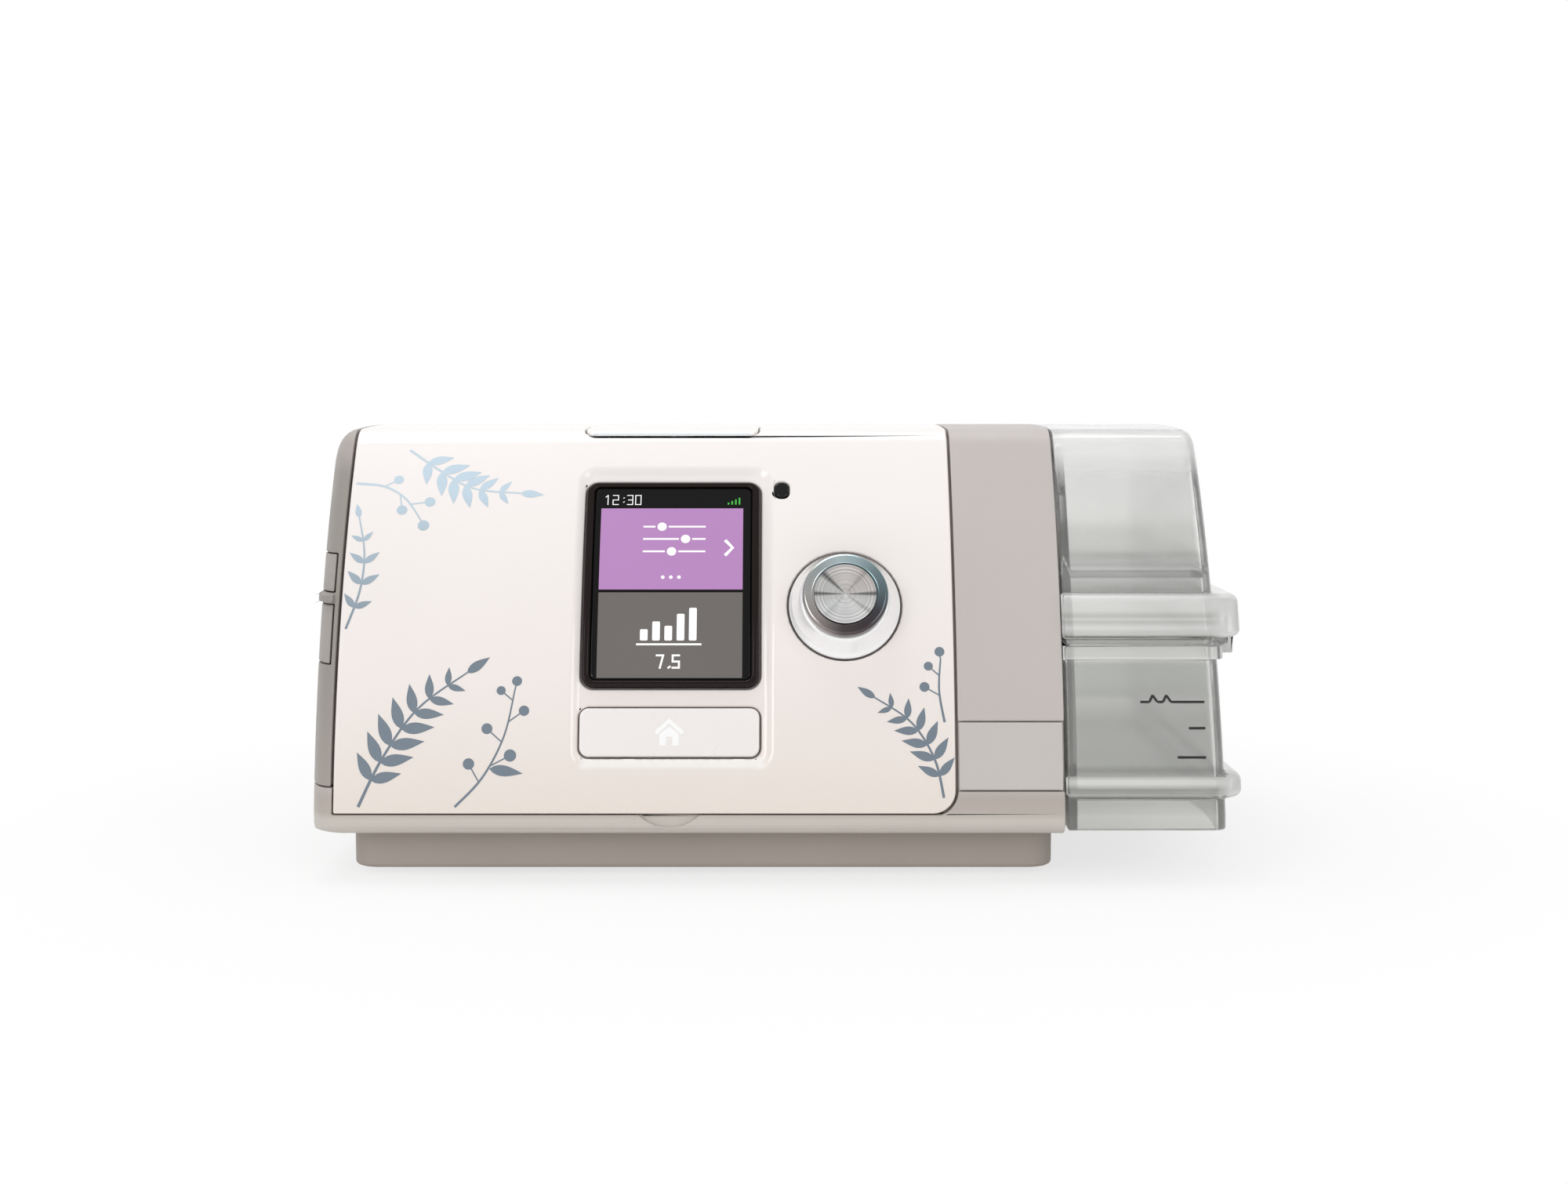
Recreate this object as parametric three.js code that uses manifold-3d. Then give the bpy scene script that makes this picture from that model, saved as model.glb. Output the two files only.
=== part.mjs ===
// Bedside CPAP machine with a water tub, in millimetres.
// X runs to the right of someone who faces the machine, Y to its back and Z up; the screen looks towards -Y.
import * as THREE from "three";
import { mergeVertices } from "three/addons/utils/BufferGeometryUtils.js";
import Module from "manifold-3d";

// Clearances and cutting overrun shared by all the pieces.
const seat = 0.3;
const running = 0.4;
const overrun = 2;
const wall = 2.2;
const weld = 1e-4;

// Main body: front profile as arcs that share tangents, and a flank that swells out on the left.
const body = {
  front: -75,
  back: 66,
  flankStart: -96.5,
  flankOut: 6,
  flankRound: 12,
  flankDrop: 7,
  right: 62.8,
  bottom: 10.5,
  seam: 15.2,
  flankSeam: 21,
  edgeRound: 3,
  panelRadius: 177,
  panelLong: 88.0431,
  shoulderRadius: 9,
  crownRadius: 812,
  rearRadius: 20,
  cavityLeft: -99.5,
};
const panelLowDegrees = 10;
const panelHighDegrees = panelLowDegrees + (body.panelLong / body.panelRadius) * (180 / Math.PI);
const shoulderDegrees = 88;

// White front cover that wraps over the top.
const fascia = { right: 39, thick: 2, groove: 0.6, topBack: 22, corner: 5, smallCorner: 1.2 };
const recess = { left: -44.2, right: -1.6, low: 10.3, high: 80.7, deep: 0.6, corner: 3.4 };
const scoop = { x: -23.4, width: 13.6, drop: 3, deep: 1.2 };

// Plinth and feet.
const plinth = { left: -93.6, right: 60.8, front: -66, back: 58, low: 1.5, corner: 7, wall: 2, bevel: 1.4 };
const foot = { radius: 6.5, inset: 15, sunk: 1.5 };
const screw = {
  headRadius: 3, shankRadius: 1.5, headTall: 2, long: 9, inset: 26, socket: 1.4, socketDeep: 1.2,
};

// Screen, home button, light sensor and dial, placed by X and by arc length up the panel.
const screen = {
  x: -23.4, rise: 52.65, wide: 39, tall: 49.1, corner: 2.6,
  frameSide: 2, frameEnd: 1.55, glassCorner: 1.2,
  proud: 0.5, sunk: 1.8, glassTop: -0.2, glassLow: -1.4,
  moduleTop: -3.8, moduleLow: -6.3, moduleSide: 1.5, moduleEnd: 1.05,
};
const home = {
  x: -23.45, rise: 17.8, wide: 39.3, tall: 10.6, corner: 2, proud: 0.3, sunk: 1.5, travel: 0.6,
  stemWide: 8, stemTall: 3.4, stemLong: 0.9, switchWide: 9, switchTall: 4, switchLow: -6.2,
};
const sensor = { x: 1.1, rise: 75.3, wide: 3, tall: 3.9, corner: 1.2, proud: 0.15 };
const dial = {
  x: 15, rise: 46.3, baseRadius: 12.6, topRadius: 9.4, sunk: 0.9, high: 8.4, ringTall: 2.6, edge: 0.7,
  discRadius: 6.6, discThick: 0.9, hollow: 1.6,
  shaftRadius: 3, shaftLow: -8.2, bodyWide: 14, bodyTop: -5,
};
const power = {
  x: -24.2, y: -25, wide: 39.6, deep: 11, corner: 3, sunk: 3.6, travel: 0.8,
  stemWide: 7, stemTall: 1.6, boardWide: 34, boardThick: 1.6, switchTall: 2.4, ribThick: 1.6,
};
const board = {
  left: -60, right: 23, low: 8, high: 82, clear: 0.8851, thick: 1.6, radioWide: 22, radioTall: 16,
  radioThick: 3,
};

// Strip between the cover and the tub, with a blank label plate.
const plate = { right: 61.6, low: 5.2, high: 20, thick: 0.8, proud: 0.1, corner: 0.8 };

// Covers and sockets on the left flank.
const cover = { thick: 1.6, wrap: 1.9, rib: 0.8 };
const cardCover = { front: -80, beyond: 2, low: 62.3, high: 70.3 };
const card = { long: 32, wide: 24, thick: 2.1, behind: 9.64, out: 0.9, push: 1 };
const cardSocket = { wall: 1.4, shelfDeep: 1.6, lengthShare: 0.78 };
const adapterCover = { front: -80, back: -26, low: 47, high: 59.4 };
const adapter = { front: -50, back: -32, low: 49, high: 57.4, deep: 14, rim: 1.6, socketDeep: 9, out: 0.9 };
const filterCover = {
  front: 18, back: 48, low: 36, high: 66, slots: 6, slotTall: 1.7, rim: 3.4, middleShare: 0.5,
};
const filter = { thick: 4, out: 0.9, foamThick: 7, foamMargin: 2 };

// Blower with its scroll, motor and impeller on a vertical shaft.
const blower = {
  x: -52, y: 22, floor: 17.3, split: 36.5, top: 53, throat: 25, reach: 37, wall: 2, outletX: -14,
  inletRadius: 13, mountRadius: 20, mountWall: 4, mountLow: 12.8,
};
const motor = { radius: 17, top: 34.5, bore: 2.6 };
const impeller = {
  radius: 22, low: 37.6, discThick: 1.4, bladeTall: 8.4, bladeThick: 1.1, hubRadius: 5.5, hubTall: 6.5,
  rootRadius: 8, blades: 11, sweep: 62, shaftRadius: 2, shaftLow: 22,
};

// Air path from the blower to the tub and from the tub to the rear outlet.
const duct = { radius: 8, bore: 6.6, riseX: 2.4, bend: 12 };
const port = { radius: 10, bore: 7, inY: -9, outY: 36, drop: 16.535, lip: 0.3 };
const outlet = {
  x: 38, drop: 20.335, long: 18.7, rootRadius: 11.2, tipRadius: 10.8, bore: 8.6, flangeRadius: 11.6,
  flangeThick: 2,
};
const elbow = { radius: 9.4, bore: 7.4, bend: 12 };
const flow = { wide: 14, deep: 10, tall: 4, x: 40 };

// Power inlet and its retaining clip on the back.
const inlet = {
  x: -1.5, z: 30, wide: 20, tall: 15, deep: 18, socketRadius: 5.4, socketDeep: 12, pinRadius: 1.1,
};
const clip = {
  wide: 27, tall: 15, thick: 2.2, window: 21, barThick: 3, hingeUp: 11, pinDrop: 0.3, pinLong: 2,
  pinRadius: 0.8,
};
const lug = { thick: 2, half: 2.2 };

// Bay on the right, its liner and the heater plate.
const bay = { left: 14, front: -45, back: 56, floor: 15.5, floorTop: 17.7, drop: 31.9925, wall: 1.6 };
const heater = { left: 22, right: 58, front: -24, back: 34, corner: 6 };

// Water tub, base and lid, with the part that slides into the bay.
const tub = {
  left: 63.4, foot: 98.2, lean: 2, back: 60, low: 11.5, topRound: 5,
  innerLeft: 20.6, innerFront: -43, innerBack: 53, innerLow: 18, innerTop: 58, innerCorner: 5,
  split: 52.6, bandTop: 61.9, bandReach: 4.3, bandFront: 1.6, rimLow: 47.9, rimReach: 0.4, rimOut: 0.5,
  beadLow: 18.3, beadTop: 24.1, beadReach: 3.4, beadOut: 0.4, wall: 2, gasket: 1.2, gasketIn: 0.5,
};
const lidShelf = { low: 65, thick: 1.4, back: -36 };
const tubPlate = { margin: 1.2, thick: 0.9, lap: 2 };
const latch = { front: -56, wide: 16, low: 48.3, thick: 2, hook: 1.4 };
const hinge = { pinRadius: 1.2, knuckle: 2.4 };

const wasm = await Module();
wasm.setup();
const group = new THREE.Group();

function radians(degrees) {
  return (degrees * Math.PI) / 180;
}

// Solids: three.js shapes the pieces, and the booleans add, subtract or intersect them.
function solid(geometry) {
  const bare = geometry.index ? geometry.toNonIndexed() : geometry.clone();
  const points = new THREE.BufferGeometry().setAttribute("position", bare.getAttribute("position"));
  const merged = mergeVertices(points, weld);
  const corners = [];
  for (let i = 0; i < merged.index.count; i += 3) {
    const [a, b, c] = [merged.index.getX(i), merged.index.getX(i + 1), merged.index.getX(i + 2)];
    if (a !== b && b !== c && c !== a) corners.push(a, b, c);
  }
  const mesh = {
    numProp: 3, vertProperties: merged.attributes.position.array, triVerts: new Uint32Array(corners),
  };
  const made = new wasm.Manifold(new wasm.Mesh(mesh));
  if (made.volume() > 0) return made;
  mesh.triVerts.reverse();
  return new wasm.Manifold(new wasm.Mesh(mesh));
}

function join(first, ...others) {
  return others.reduce((whole, other) => whole.add(other), first);
}

function cut(first, ...others) {
  return others.reduce((whole, other) => whole.subtract(other), first);
}

function common(first, ...others) {
  return others.reduce((whole, other) => whole.intersect(other), first);
}

function addPiece(name, shape, material) {
  const { vertProperties, triVerts, numProp } = shape.getMesh();
  const geometry = new THREE.BufferGeometry();
  const places = new Float32Array((vertProperties.length / numProp) * 3);
  for (let i = 0; i < places.length / 3; i++) {
    places.set(vertProperties.subarray(i * numProp, i * numProp + 3), i * 3);
  }
  geometry.setAttribute("position", new THREE.BufferAttribute(places, 3));
  geometry.setIndex(new THREE.BufferAttribute(triVerts, 1));
  geometry.computeVertexNormals();
  const mesh = new THREE.Mesh(geometry, material);
  mesh.name = name;
  group.add(mesh);
}

// Shapes: outlines swept along an axis, rounded plates and turned pieces.
function sweep(points, from, to, across, up, along) {
  const outline = new THREE.Shape(points.map(([a, b]) => new THREE.Vector2(a, b)));
  const geometry = new THREE.ExtrudeGeometry(outline, { depth: to - from, bevelEnabled: false });
  geometry.translate(0, 0, from);
  geometry.applyMatrix4(new THREE.Matrix4().makeBasis(across, up, along));
  return solid(geometry);
}

const right = new THREE.Vector3(1, 0, 0);
const rearward = new THREE.Vector3(0, 1, 0);
const upward = new THREE.Vector3(0, 0, 1);

function alongX(points, from, to) {
  return sweep(points, from, to, rearward, upward, right);
}

function alongY(points, from, to) {
  return sweep(points, -to, -from, right, upward, rearward.clone().negate());
}

function alongZ(points, from, to) {
  return sweep(points, from, to, right, rearward, upward);
}

function block(x0, x1, y0, y1, z0, z1) {
  return alongZ([[x0, y0], [x1, y0], [x1, y1], [x0, y1]], z0, z1);
}

// Points of a rectangle whose corners, counted from the low left one, have their own radii.
function roundedPoints(x0, x1, y0, y1, radii, steps = 4) {
  const centres = [[x0, y0, 1, 1], [x1, y0, -1, 1], [x1, y1, -1, -1], [x0, y1, 1, -1]];
  return centres.flatMap(([x, y, a, b], corner) => {
    const radius = radii[corner];
    return Array.from({ length: steps + 1 }, (_, i) => {
      const turn = radians(180 + 90 * corner + (90 * i) / steps);
      return [x + a * radius + radius * Math.cos(turn), y + b * radius + radius * Math.sin(turn)];
    });
  });
}

function evenCorners(radius) {
  return [radius, radius, radius, radius];
}

// A plate in its own plane, its face bevelled by an eased edge where one is given.
function plateShape(wide, tall, corner, low, high, edge = 0) {
  const points = roundedPoints(-wide / 2, wide / 2, -tall / 2, tall / 2, evenCorners(corner));
  if (!edge) return alongZ(points, low, high);
  const small = roundedPoints(
    edge - wide / 2, wide / 2 - edge, edge - tall / 2, tall / 2 - edge, evenCorners(corner - edge / 2),
  );
  return wasm.Manifold.hull([alongZ(points, low, high - edge), alongZ(small, low, high)]);
}

// A body of revolution about Z from [radius, height] points, closed on the axis or as a ring.
function turned(points, sides) {
  const geometry = new THREE.LatheGeometry(points.map(([r, h]) => new THREE.Vector2(r, h)), sides);
  geometry.rotateX(radians(90));
  return solid(geometry);
}

function ring(outer, inner, low, high, sides) {
  return turned([[inner, low], [outer, low], [outer, high], [inner, high], [inner, low]], sides);
}

function drum(radius, low, high, sides) {
  return turned([[0, low], [radius, low], [radius, high], [0, high]], sides);
}

function turnedTo(shape, axis, x, y, z) {
  const angles = { x: [0, 90, 0], y: [-90, 0, 0], z: [0, 0, 0] }[axis];
  return shape.rotate(angles).translate([x, y, z]);
}

// A pipe along a smooth path, open at both ends.
function pipe(path, outer, inner, steps, sides) {
  const curve = new THREE.CatmullRomCurve3(path.map((p) => new THREE.Vector3(...p)), false, "centripetal");
  const frames = curve.computeFrenetFrames(steps, false);
  const rings = [];
  for (let i = 0; i <= steps; i++) {
    const centre = curve.getPointAt(i / steps);
    for (const radius of inner ? [outer, inner] : [outer]) {
      const loop = [];
      for (let j = 0; j < sides; j++) {
        const turn = (2 * Math.PI * j) / sides;
        const spoke = frames.normals[i].clone().multiplyScalar(radius * Math.cos(turn));
        spoke.addScaledVector(frames.binormals[i], radius * Math.sin(turn));
        loop.push(centre.clone().add(spoke));
      }
      rings.push(loop);
    }
  }
  const corners = [];
  const quad = (a, b, c, d) => corners.push(a, b, c, a, c, d);
  const layers = inner ? 2 : 1;
  for (let j = 0; j < sides; j++) {
    const k = (j + 1) % sides;
    for (let i = 0; i < steps; i++) {
      const [near, far] = [i * layers, (i + 1) * layers];
      quad(rings[near][j], rings[near][k], rings[far][k], rings[far][j]);
      if (inner) quad(rings[near + 1][k], rings[near + 1][j], rings[far + 1][j], rings[far + 1][k]);
    }
    const last = steps * layers;
    if (inner) {
      quad(rings[1][j], rings[1][k], rings[0][k], rings[0][j]);
      quad(rings[last][j], rings[last][k], rings[last + 1][k], rings[last + 1][j]);
    }
  }
  const places = new Float32Array(corners.flatMap((p) => [p.x, p.y, p.z]));
  return solid(new THREE.BufferGeometry().setAttribute("position", new THREE.BufferAttribute(places, 3)));
}

// Side profile of the body: tilt 0 looks to the front, 90 up and 180 to the back.
function facing(degrees) {
  return [-Math.cos(radians(degrees)), Math.sin(radians(degrees))];
}

function moved([y, z], amount, degrees) {
  const [a, b] = facing(degrees);
  return [y + a * amount, z + b * amount];
}

function arc(centre, radius, from, to, steps) {
  return Array.from(
    { length: steps + 1 }, (_, i) => moved(centre, radius, from + ((to - from) * i) / steps),
  );
}

const panelCentre = moved([body.front, body.seam], -body.panelRadius, panelLowDegrees);

function profile(inset, back, low) {
  const shoulder = moved(panelCentre, body.panelRadius - body.shoulderRadius, panelHighDegrees);
  const crown = moved(shoulder, body.shoulderRadius - body.crownRadius, shoulderDegrees);
  const run = (crown[0] - back + body.rearRadius) / (body.crownRadius - body.rearRadius);
  const crownDegrees = (Math.acos(run) * 180) / Math.PI;
  const rear = moved(crown, body.crownRadius - body.rearRadius, crownDegrees);
  return [
    [body.front + inset, low],
    ...arc(panelCentre, body.panelRadius - inset, panelLowDegrees, panelHighDegrees, 10),
    ...arc(shoulder, body.shoulderRadius - inset, panelHighDegrees, shoulderDegrees, 5).slice(1),
    ...arc(crown, body.crownRadius - inset, shoulderDegrees, crownDegrees, 4).slice(1),
    ...arc(rear, body.rearRadius - inset, crownDegrees, 180, 6).slice(1),
    [back - inset, low],
  ];
}

function profileSlab(inset, back, low, x0, x1) {
  return alongX(profile(inset, back, low).reverse(), x0, x1);
}

// How far back the curved front lies at a given height.
function panelDepth(z) {
  const [y, middle] = panelCentre;
  return y - Math.sqrt(body.panelRadius ** 2 - (z - middle) ** 2);
}

const cardMiddle = (cardCover.low + cardCover.high) / 2;
const cardBack = panelDepth(cardMiddle) + card.behind + card.wide;
const cardSkin = { ...cardCover, back: cardBack + cardCover.beyond };

// Places on the curved front: a length up the panel and a height off its surface.
function panelDegrees(up) {
  return panelLowDegrees + (up / body.panelRadius) * (180 / Math.PI);
}

function panelPoint(up, out) {
  return moved(panelCentre, body.panelRadius + out, panelDegrees(up));
}

function onPanel(shape, x, up, out = 0) {
  const [y, z] = panelPoint(up, out);
  return shape.rotate([90 - panelDegrees(up), 0, 0]).translate([x, y, z]);
}

// A piece of the front that follows its curve between two heights off the surface.
function panelPatch(piece, corner, low, high, grow = 0) {
  const reach = piece.tall / 2 + grow;
  const ends = [piece.rise - reach - overrun, piece.rise + reach + overrun];
  const outer = arc(panelCentre, body.panelRadius + high, panelDegrees(ends[0]), panelDegrees(ends[1]), 8);
  const inner = arc(panelCentre, body.panelRadius + low, panelDegrees(ends[1]), panelDegrees(ends[0]), 8);
  const half = piece.wide / 2 + grow;
  const strip = alongX([...outer, ...inner].reverse(), piece.x - half - overrun, piece.x + half + overrun);
  const depth = body.shoulderRadius;
  return common(
    strip, onPanel(plateShape(half * 2, reach * 2, corner + grow, -2 * depth, depth), piece.x, piece.rise),
  );
}

// Body with its rounded lower edge and swollen left flank.
function flankSections(back, low) {
  const turns = [0, 30, 55, 75, 90];
  const points = profile(0, back, low);
  const middle = (body.front + back) / 2;
  const half = (back - body.front) / 2;
  const tall = Math.max(...points.map(([, z]) => z)) - low;
  return turns.map((turn) => {
    const drawn = 1 - Math.cos(radians(turn));
    const x = body.flankStart - body.flankOut * Math.sin(radians(turn));
    const narrow = 1 - (body.flankRound * drawn) / half;
    const lower = 1 - (body.flankDrop * drawn) / tall;
    return points.map(
      ([y, z]) => new THREE.Vector3(x, middle + (y - middle) * narrow, low + (z - low) * lower)
    );
  });
}

function loft(sections) {
  const corners = [];
  const count = sections[0].length;
  for (let i = 0; i + 1 < sections.length; i++) {
    for (let j = 0; j < count; j++) {
      const k = (j + 1) % count;
      const [a, b] = [sections[i], sections[i + 1]];
      corners.push(a[j], a[k], b[k], a[j], b[k], b[j]);
    }
  }
  for (const [section, flip] of [[sections[0], true], [sections.at(-1), false]]) {
    for (let j = 1; j + 1 < count; j++) {
      const face = [section[0], section[j], section[j + 1]];
      corners.push(...(flip ? face.reverse() : face));
    }
  }
  const places = new Float32Array(corners.flatMap((p) => [p.x, p.y, p.z]));
  return solid(new THREE.BufferGeometry().setAttribute("position", new THREE.BufferAttribute(places, 3)));
}

function wholeBody() {
  const flank = flankSections(body.back, body.bottom);
  const far = flank[0].map((p) => new THREE.Vector3(body.right, p.y, p.z));
  const shell = loft([far, ...flank]);
  const left = body.flankStart - body.flankOut;
  const corners = [body.flankRound / 2, seat, seat, body.flankRound / 2];
  const side = (inset) => {
    const edges = [left + inset, body.right, body.front + inset, body.back - inset];
    return roundedPoints(...edges, corners, 5);
  };
  const rounding = [0, 45, 90].map((turn) => {
    const inset = body.edgeRound * (1 - Math.sin(radians(turn)));
    const high = body.bottom + body.edgeRound * (1 - Math.cos(radians(turn)));
    return side(inset).map(([x, y]) => new THREE.Vector3(x, y, high));
  });
  const top = rounding.at(-1).map((p) => new THREE.Vector3(p.x, p.y, body.panelRadius));
  return common(shell, loft([...rounding, top]));
}

const bodyShape = wholeBody();
const farLeft = body.flankStart - body.flankOut - overrun;

const crownLevel = Math.max(...profile(0, body.back, body.bottom).map(([, z]) => z));
const portLevel = crownLevel - port.drop;
const outletLevel = crownLevel - outlet.drop;
const bayCeiling = crownLevel - bay.drop;

// Front outline of the cover, with its large corner at the lower right.
function coverOutline(grow, from, to) {
  const corners = [fascia.smallCorner, fascia.corner + grow, fascia.smallCorner, fascia.smallCorner];
  const edges = [body.flankStart - grow, fascia.right + grow, body.seam - grow, body.panelRadius];
  return alongY(roundedPoints(...edges, corners, 5), from, to);
}

function fasciaRegion(inset, grow) {
  const slab = cut(
    profileSlab(
      -overrun, body.back + overrun, body.seam - grow, body.flankStart - grow, fascia.right + grow,
    ),
    profileSlab(
      inset, body.back, body.seam - overrun * 2, body.flankStart - overrun, fascia.right + overrun,
    ),
  );
  return common(slab, coverOutline(grow, body.front - overrun * 2, fascia.topBack + grow));
}

const fasciaSpace = fasciaRegion(fascia.thick + seat, fascia.groove);

// Holes that pass through the front for the screen, buttons, sensor and dial.
function frontHole(piece, corner, grow) {
  return panelPatch(piece, corner, -2 * body.shoulderRadius, overrun, grow);
}

function topHole(grow, low) {
  const wide = power.wide / 2 + grow;
  const deep = power.deep / 2 + grow;
  const points = roundedPoints(
    power.x - wide, power.x + wide, power.y - deep, power.y + deep, evenCorners(power.corner),
  );
  return alongZ(points, low, body.panelRadius);
}

function makeFascia() {
  const outer = profileSlab(0, body.back, body.seam, body.flankStart, fascia.right);
  const inner = profileSlab(
    fascia.thick, body.back, body.seam - overrun, body.flankStart - overrun, fascia.right + overrun,
  );
  const reach = coverOutline(0, body.front - overrun, fascia.topBack);
  const tall = recess.high - recess.low;
  const dish = {
    x: (recess.left + recess.right) / 2, rise: (recess.low + recess.high) / 2,
    wide: recess.right - recess.left, tall,
  };
  return cut(
    common(cut(outer, inner), reach),
    panelPatch(dish, recess.corner, -recess.deep, overrun),
    frontHole(screen, screen.corner, running),
    frontHole(home, home.corner, running),
    frontHole(sensor, sensor.corner, seat),
    onPanel(
      drum(dial.baseRadius + running, -body.shoulderRadius, body.shoulderRadius, 40), dial.x, dial.rise,
    ),
    topHole(running, body.seam + body.shoulderRadius),
  );
}

// Covers on the flank follow its swell, and so do the pockets that they close.
function flankPocket(thick, piece, grow) {
  const under = bodyShape.translate([thick, thick, 0]);
  const edge = body.flankStart - cover.wrap + grow;
  const reach = block(
    farLeft, edge, piece.front - grow, piece.back + grow, piece.low - grow, piece.high + grow,
  );
  return cut(reach, under);
}

function flankSkin(piece) {
  return common(flankPocket(cover.thick, piece, 0), bodyShape);
}

// A rib between the two upper covers stands a little off the flank.
function flankRib() {
  const left = body.flankStart - body.flankOut;
  const spread = block(
    left, body.flankStart - cover.wrap, body.front, cardSkin.back, adapterCover.high + seat * 2,
    cardCover.low - seat * 2,
  );
  return common(bodyShape.translate([-cover.rib, -cover.rib, 0]), spread);
}

function bayShape(grow) {
  return block(
    bay.left - grow, body.right + overrun, bay.front - grow, bay.back + grow, body.seam - overrun,
    bayCeiling + grow,
  );
}

function cardSlot(grow, from, to) {
  const half = card.thick / 2 + grow;
  return block(
    from, to, cardBack - card.wide - grow, cardBack + grow, cardMiddle - half, cardMiddle + half,
  );
}

function filterMouth() {
  const rim = filterCover.rim;
  return block(
    farLeft, body.cavityLeft + overrun, filterCover.front + rim, filterCover.back - rim,
    filterCover.low + rim, filterCover.high - rim,
  );
}

function rearHoles() {
  const plug = block(
    inlet.x - inlet.wide / 2 - seat, inlet.x + inlet.wide / 2 + seat, bay.back, body.back + overrun,
    inlet.z - inlet.tall / 2 - seat, inlet.z + inlet.tall / 2 + seat,
  );
  const spout = turnedTo(
    drum(outlet.rootRadius + seat, -overrun, body.rearRadius, 28), "y", outlet.x, bay.back, outletLevel,
  );
  return join(plug, spout);
}

function portHoles(grow) {
  const holes = [port.inY, port.outY].map((y) => {
    const bore = drum(port.radius + grow, -overrun - wall, overrun, 24);
    return turnedTo(bore, "x", body.right, y, portLevel);
  });
  return join(...holes);
}

// Ribs under the top carry the start/stop switch, and bosses under the front carry the main board.
function powerRibs() {
  const half = power.boardWide / 2 + seat;
  const low = crownLevel - power.sunk - power.travel - power.switchTall - power.boardThick - wall * 2;
  return [-1, 1].map((side) => {
    const near = power.x + side * half;
    const far = near + side * power.ribThick;
    const y0 = power.y - power.deep / 2;
    return block(
      Math.min(near, far), Math.max(near, far), y0, power.y + power.deep / 2, low, crownLevel - wall * 2,
    );
  });
}

function makeRearHousing() {
  const space = cut(
    profileSlab(
      fascia.thick + seat + wall, body.back + fascia.thick, body.bottom, body.cavityLeft, body.right - wall,
    ),
    block(body.cavityLeft, body.right, bay.back + bay.wall + seat * 2, body.back, body.bottom, bay.floor),
  );
  const above = join(
    block(
      body.flankStart, body.right + overrun, body.front - overrun, body.back + overrun, body.seam,
      body.panelRadius,
    ),
    block(
      farLeft, body.flankStart + seat, body.front - overrun, body.back + overrun, body.flankSeam,
      body.panelRadius,
    ),
  );
  const shell = cut(common(bodyShape, above), space, fasciaSpace);
  const window = insideScreen(screen.moduleSide, screen.moduleEnd);
  const key = { x: home.x, rise: home.rise, wide: home.switchWide, tall: home.switchTall };
  return cut(
    join(shell, flankRib(), ...clipLugs(), ...powerRibs()),
    clipPins(seat, lug.thick + seat * 2),
    frontHole(window, seat, seat),
    frontHole(key, seat, running),
    onPanel(
      drum(dial.shaftRadius + running, -body.shoulderRadius, body.shoulderRadius, 24), dial.x, dial.rise,
    ),
    common(
      topHole(running, body.seam + body.shoulderRadius),
      block(farLeft, body.right, body.front, body.back, crownLevel - body.shoulderRadius, body.panelRadius),
    ),
    frontHole(stripPlate(), plate.corner, seat).intersect(stripPocket()),
    flankPocket(cover.thick + seat, cardSkin, seat),
    flankPocket(cover.thick + seat, adapterCover, seat),
    flankPocket(cover.thick + seat, filterCover, seat),
    cardSlot(seat, farLeft, body.cavityLeft + overrun),
    adapterHole(seat),
    filterMouth(),
    rearHoles(),
    portHoles(seat),
    bayShape(seat),
  );
}

function stripPlate() {
  const left = fascia.right + fascia.groove + (body.right - plate.right);
  return {
    x: (left + plate.right) / 2, rise: (plate.low + plate.high) / 2, wide: plate.right - left,
    tall: plate.high - plate.low,
  };
}

function stripPocket() {
  return profileSlab(-overrun, body.back, body.seam, fascia.right, body.right)
    .subtract(
      profileSlab(plate.thick + seat, body.back, body.bottom, fascia.right - overrun, body.right + overrun)
    );
}

function makeLabelPlate() {
  return panelPatch(stripPlate(), plate.corner, -plate.thick, plate.proud);
}

function adapterHole(grow) {
  return block(
    farLeft, body.cavityLeft + overrun, adapter.front - grow, adapter.back + grow, adapter.low - grow,
    adapter.high + grow,
  );
}

// Tray under the housing, with the thumb scoop below the front cover.
function makeBottomHousing() {
  const low = join(
    block(
      farLeft, body.right + overrun, body.front - overrun, body.back + overrun, body.bottom - overrun,
      body.seam - seat,
    ),
    block(
      farLeft, body.flankStart - seat, body.front - overrun, body.back + overrun, body.bottom,
      body.flankSeam - seat,
    ),
  );
  const hollow = block(
    body.cavityLeft, body.right - wall, body.front + wall * 2, body.back - wall * 2, body.bottom + wall,
    body.flankSeam,
  );
  const radius = (scoop.width ** 2 / 4 + scoop.drop ** 2) / (2 * scoop.drop);
  const dip = drum(radius, -overrun, scoop.deep, 48);
  return cut(
    common(bodyShape, low),
    hollow,
    turnedTo(dip, "y", scoop.x, body.front, body.seam - scoop.drop + radius),
    ...screwPlaces().map(([x, y]) => drum(screw.shankRadius + seat, 0, body.seam, 8).translate([x, y, 0])),
  );
}

function plinthPoints(inset) {
  const { left, right: far, front, back, corner } = plinth;
  return roundedPoints(
    left + inset, far - inset, front + inset, back - inset, evenCorners(corner - inset / 2), 3,
  );
}

function cornerPlaces(inset) {
  const { left, right: far, front, back } = plinth;
  return [
    [left + inset, front + inset], [far - inset, front + inset], [far - inset, back - inset],
    [left + inset, back - inset],
  ];
}

function footShape(grow) {
  return drum(foot.radius + grow, -grow, plinth.low + foot.sunk + grow, 16);
}

function screwShape(grow) {
  const low = plinth.low + screw.socketDeep;
  const head = drum(
    screw.headRadius + grow, low - (grow ? overrun * 2 : 0), low + screw.headTall + grow, 12,
  );
  const shank = drum(screw.shankRadius + grow, low, low + screw.headTall + screw.long + grow, 8);
  return join(head, shank);
}

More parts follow.
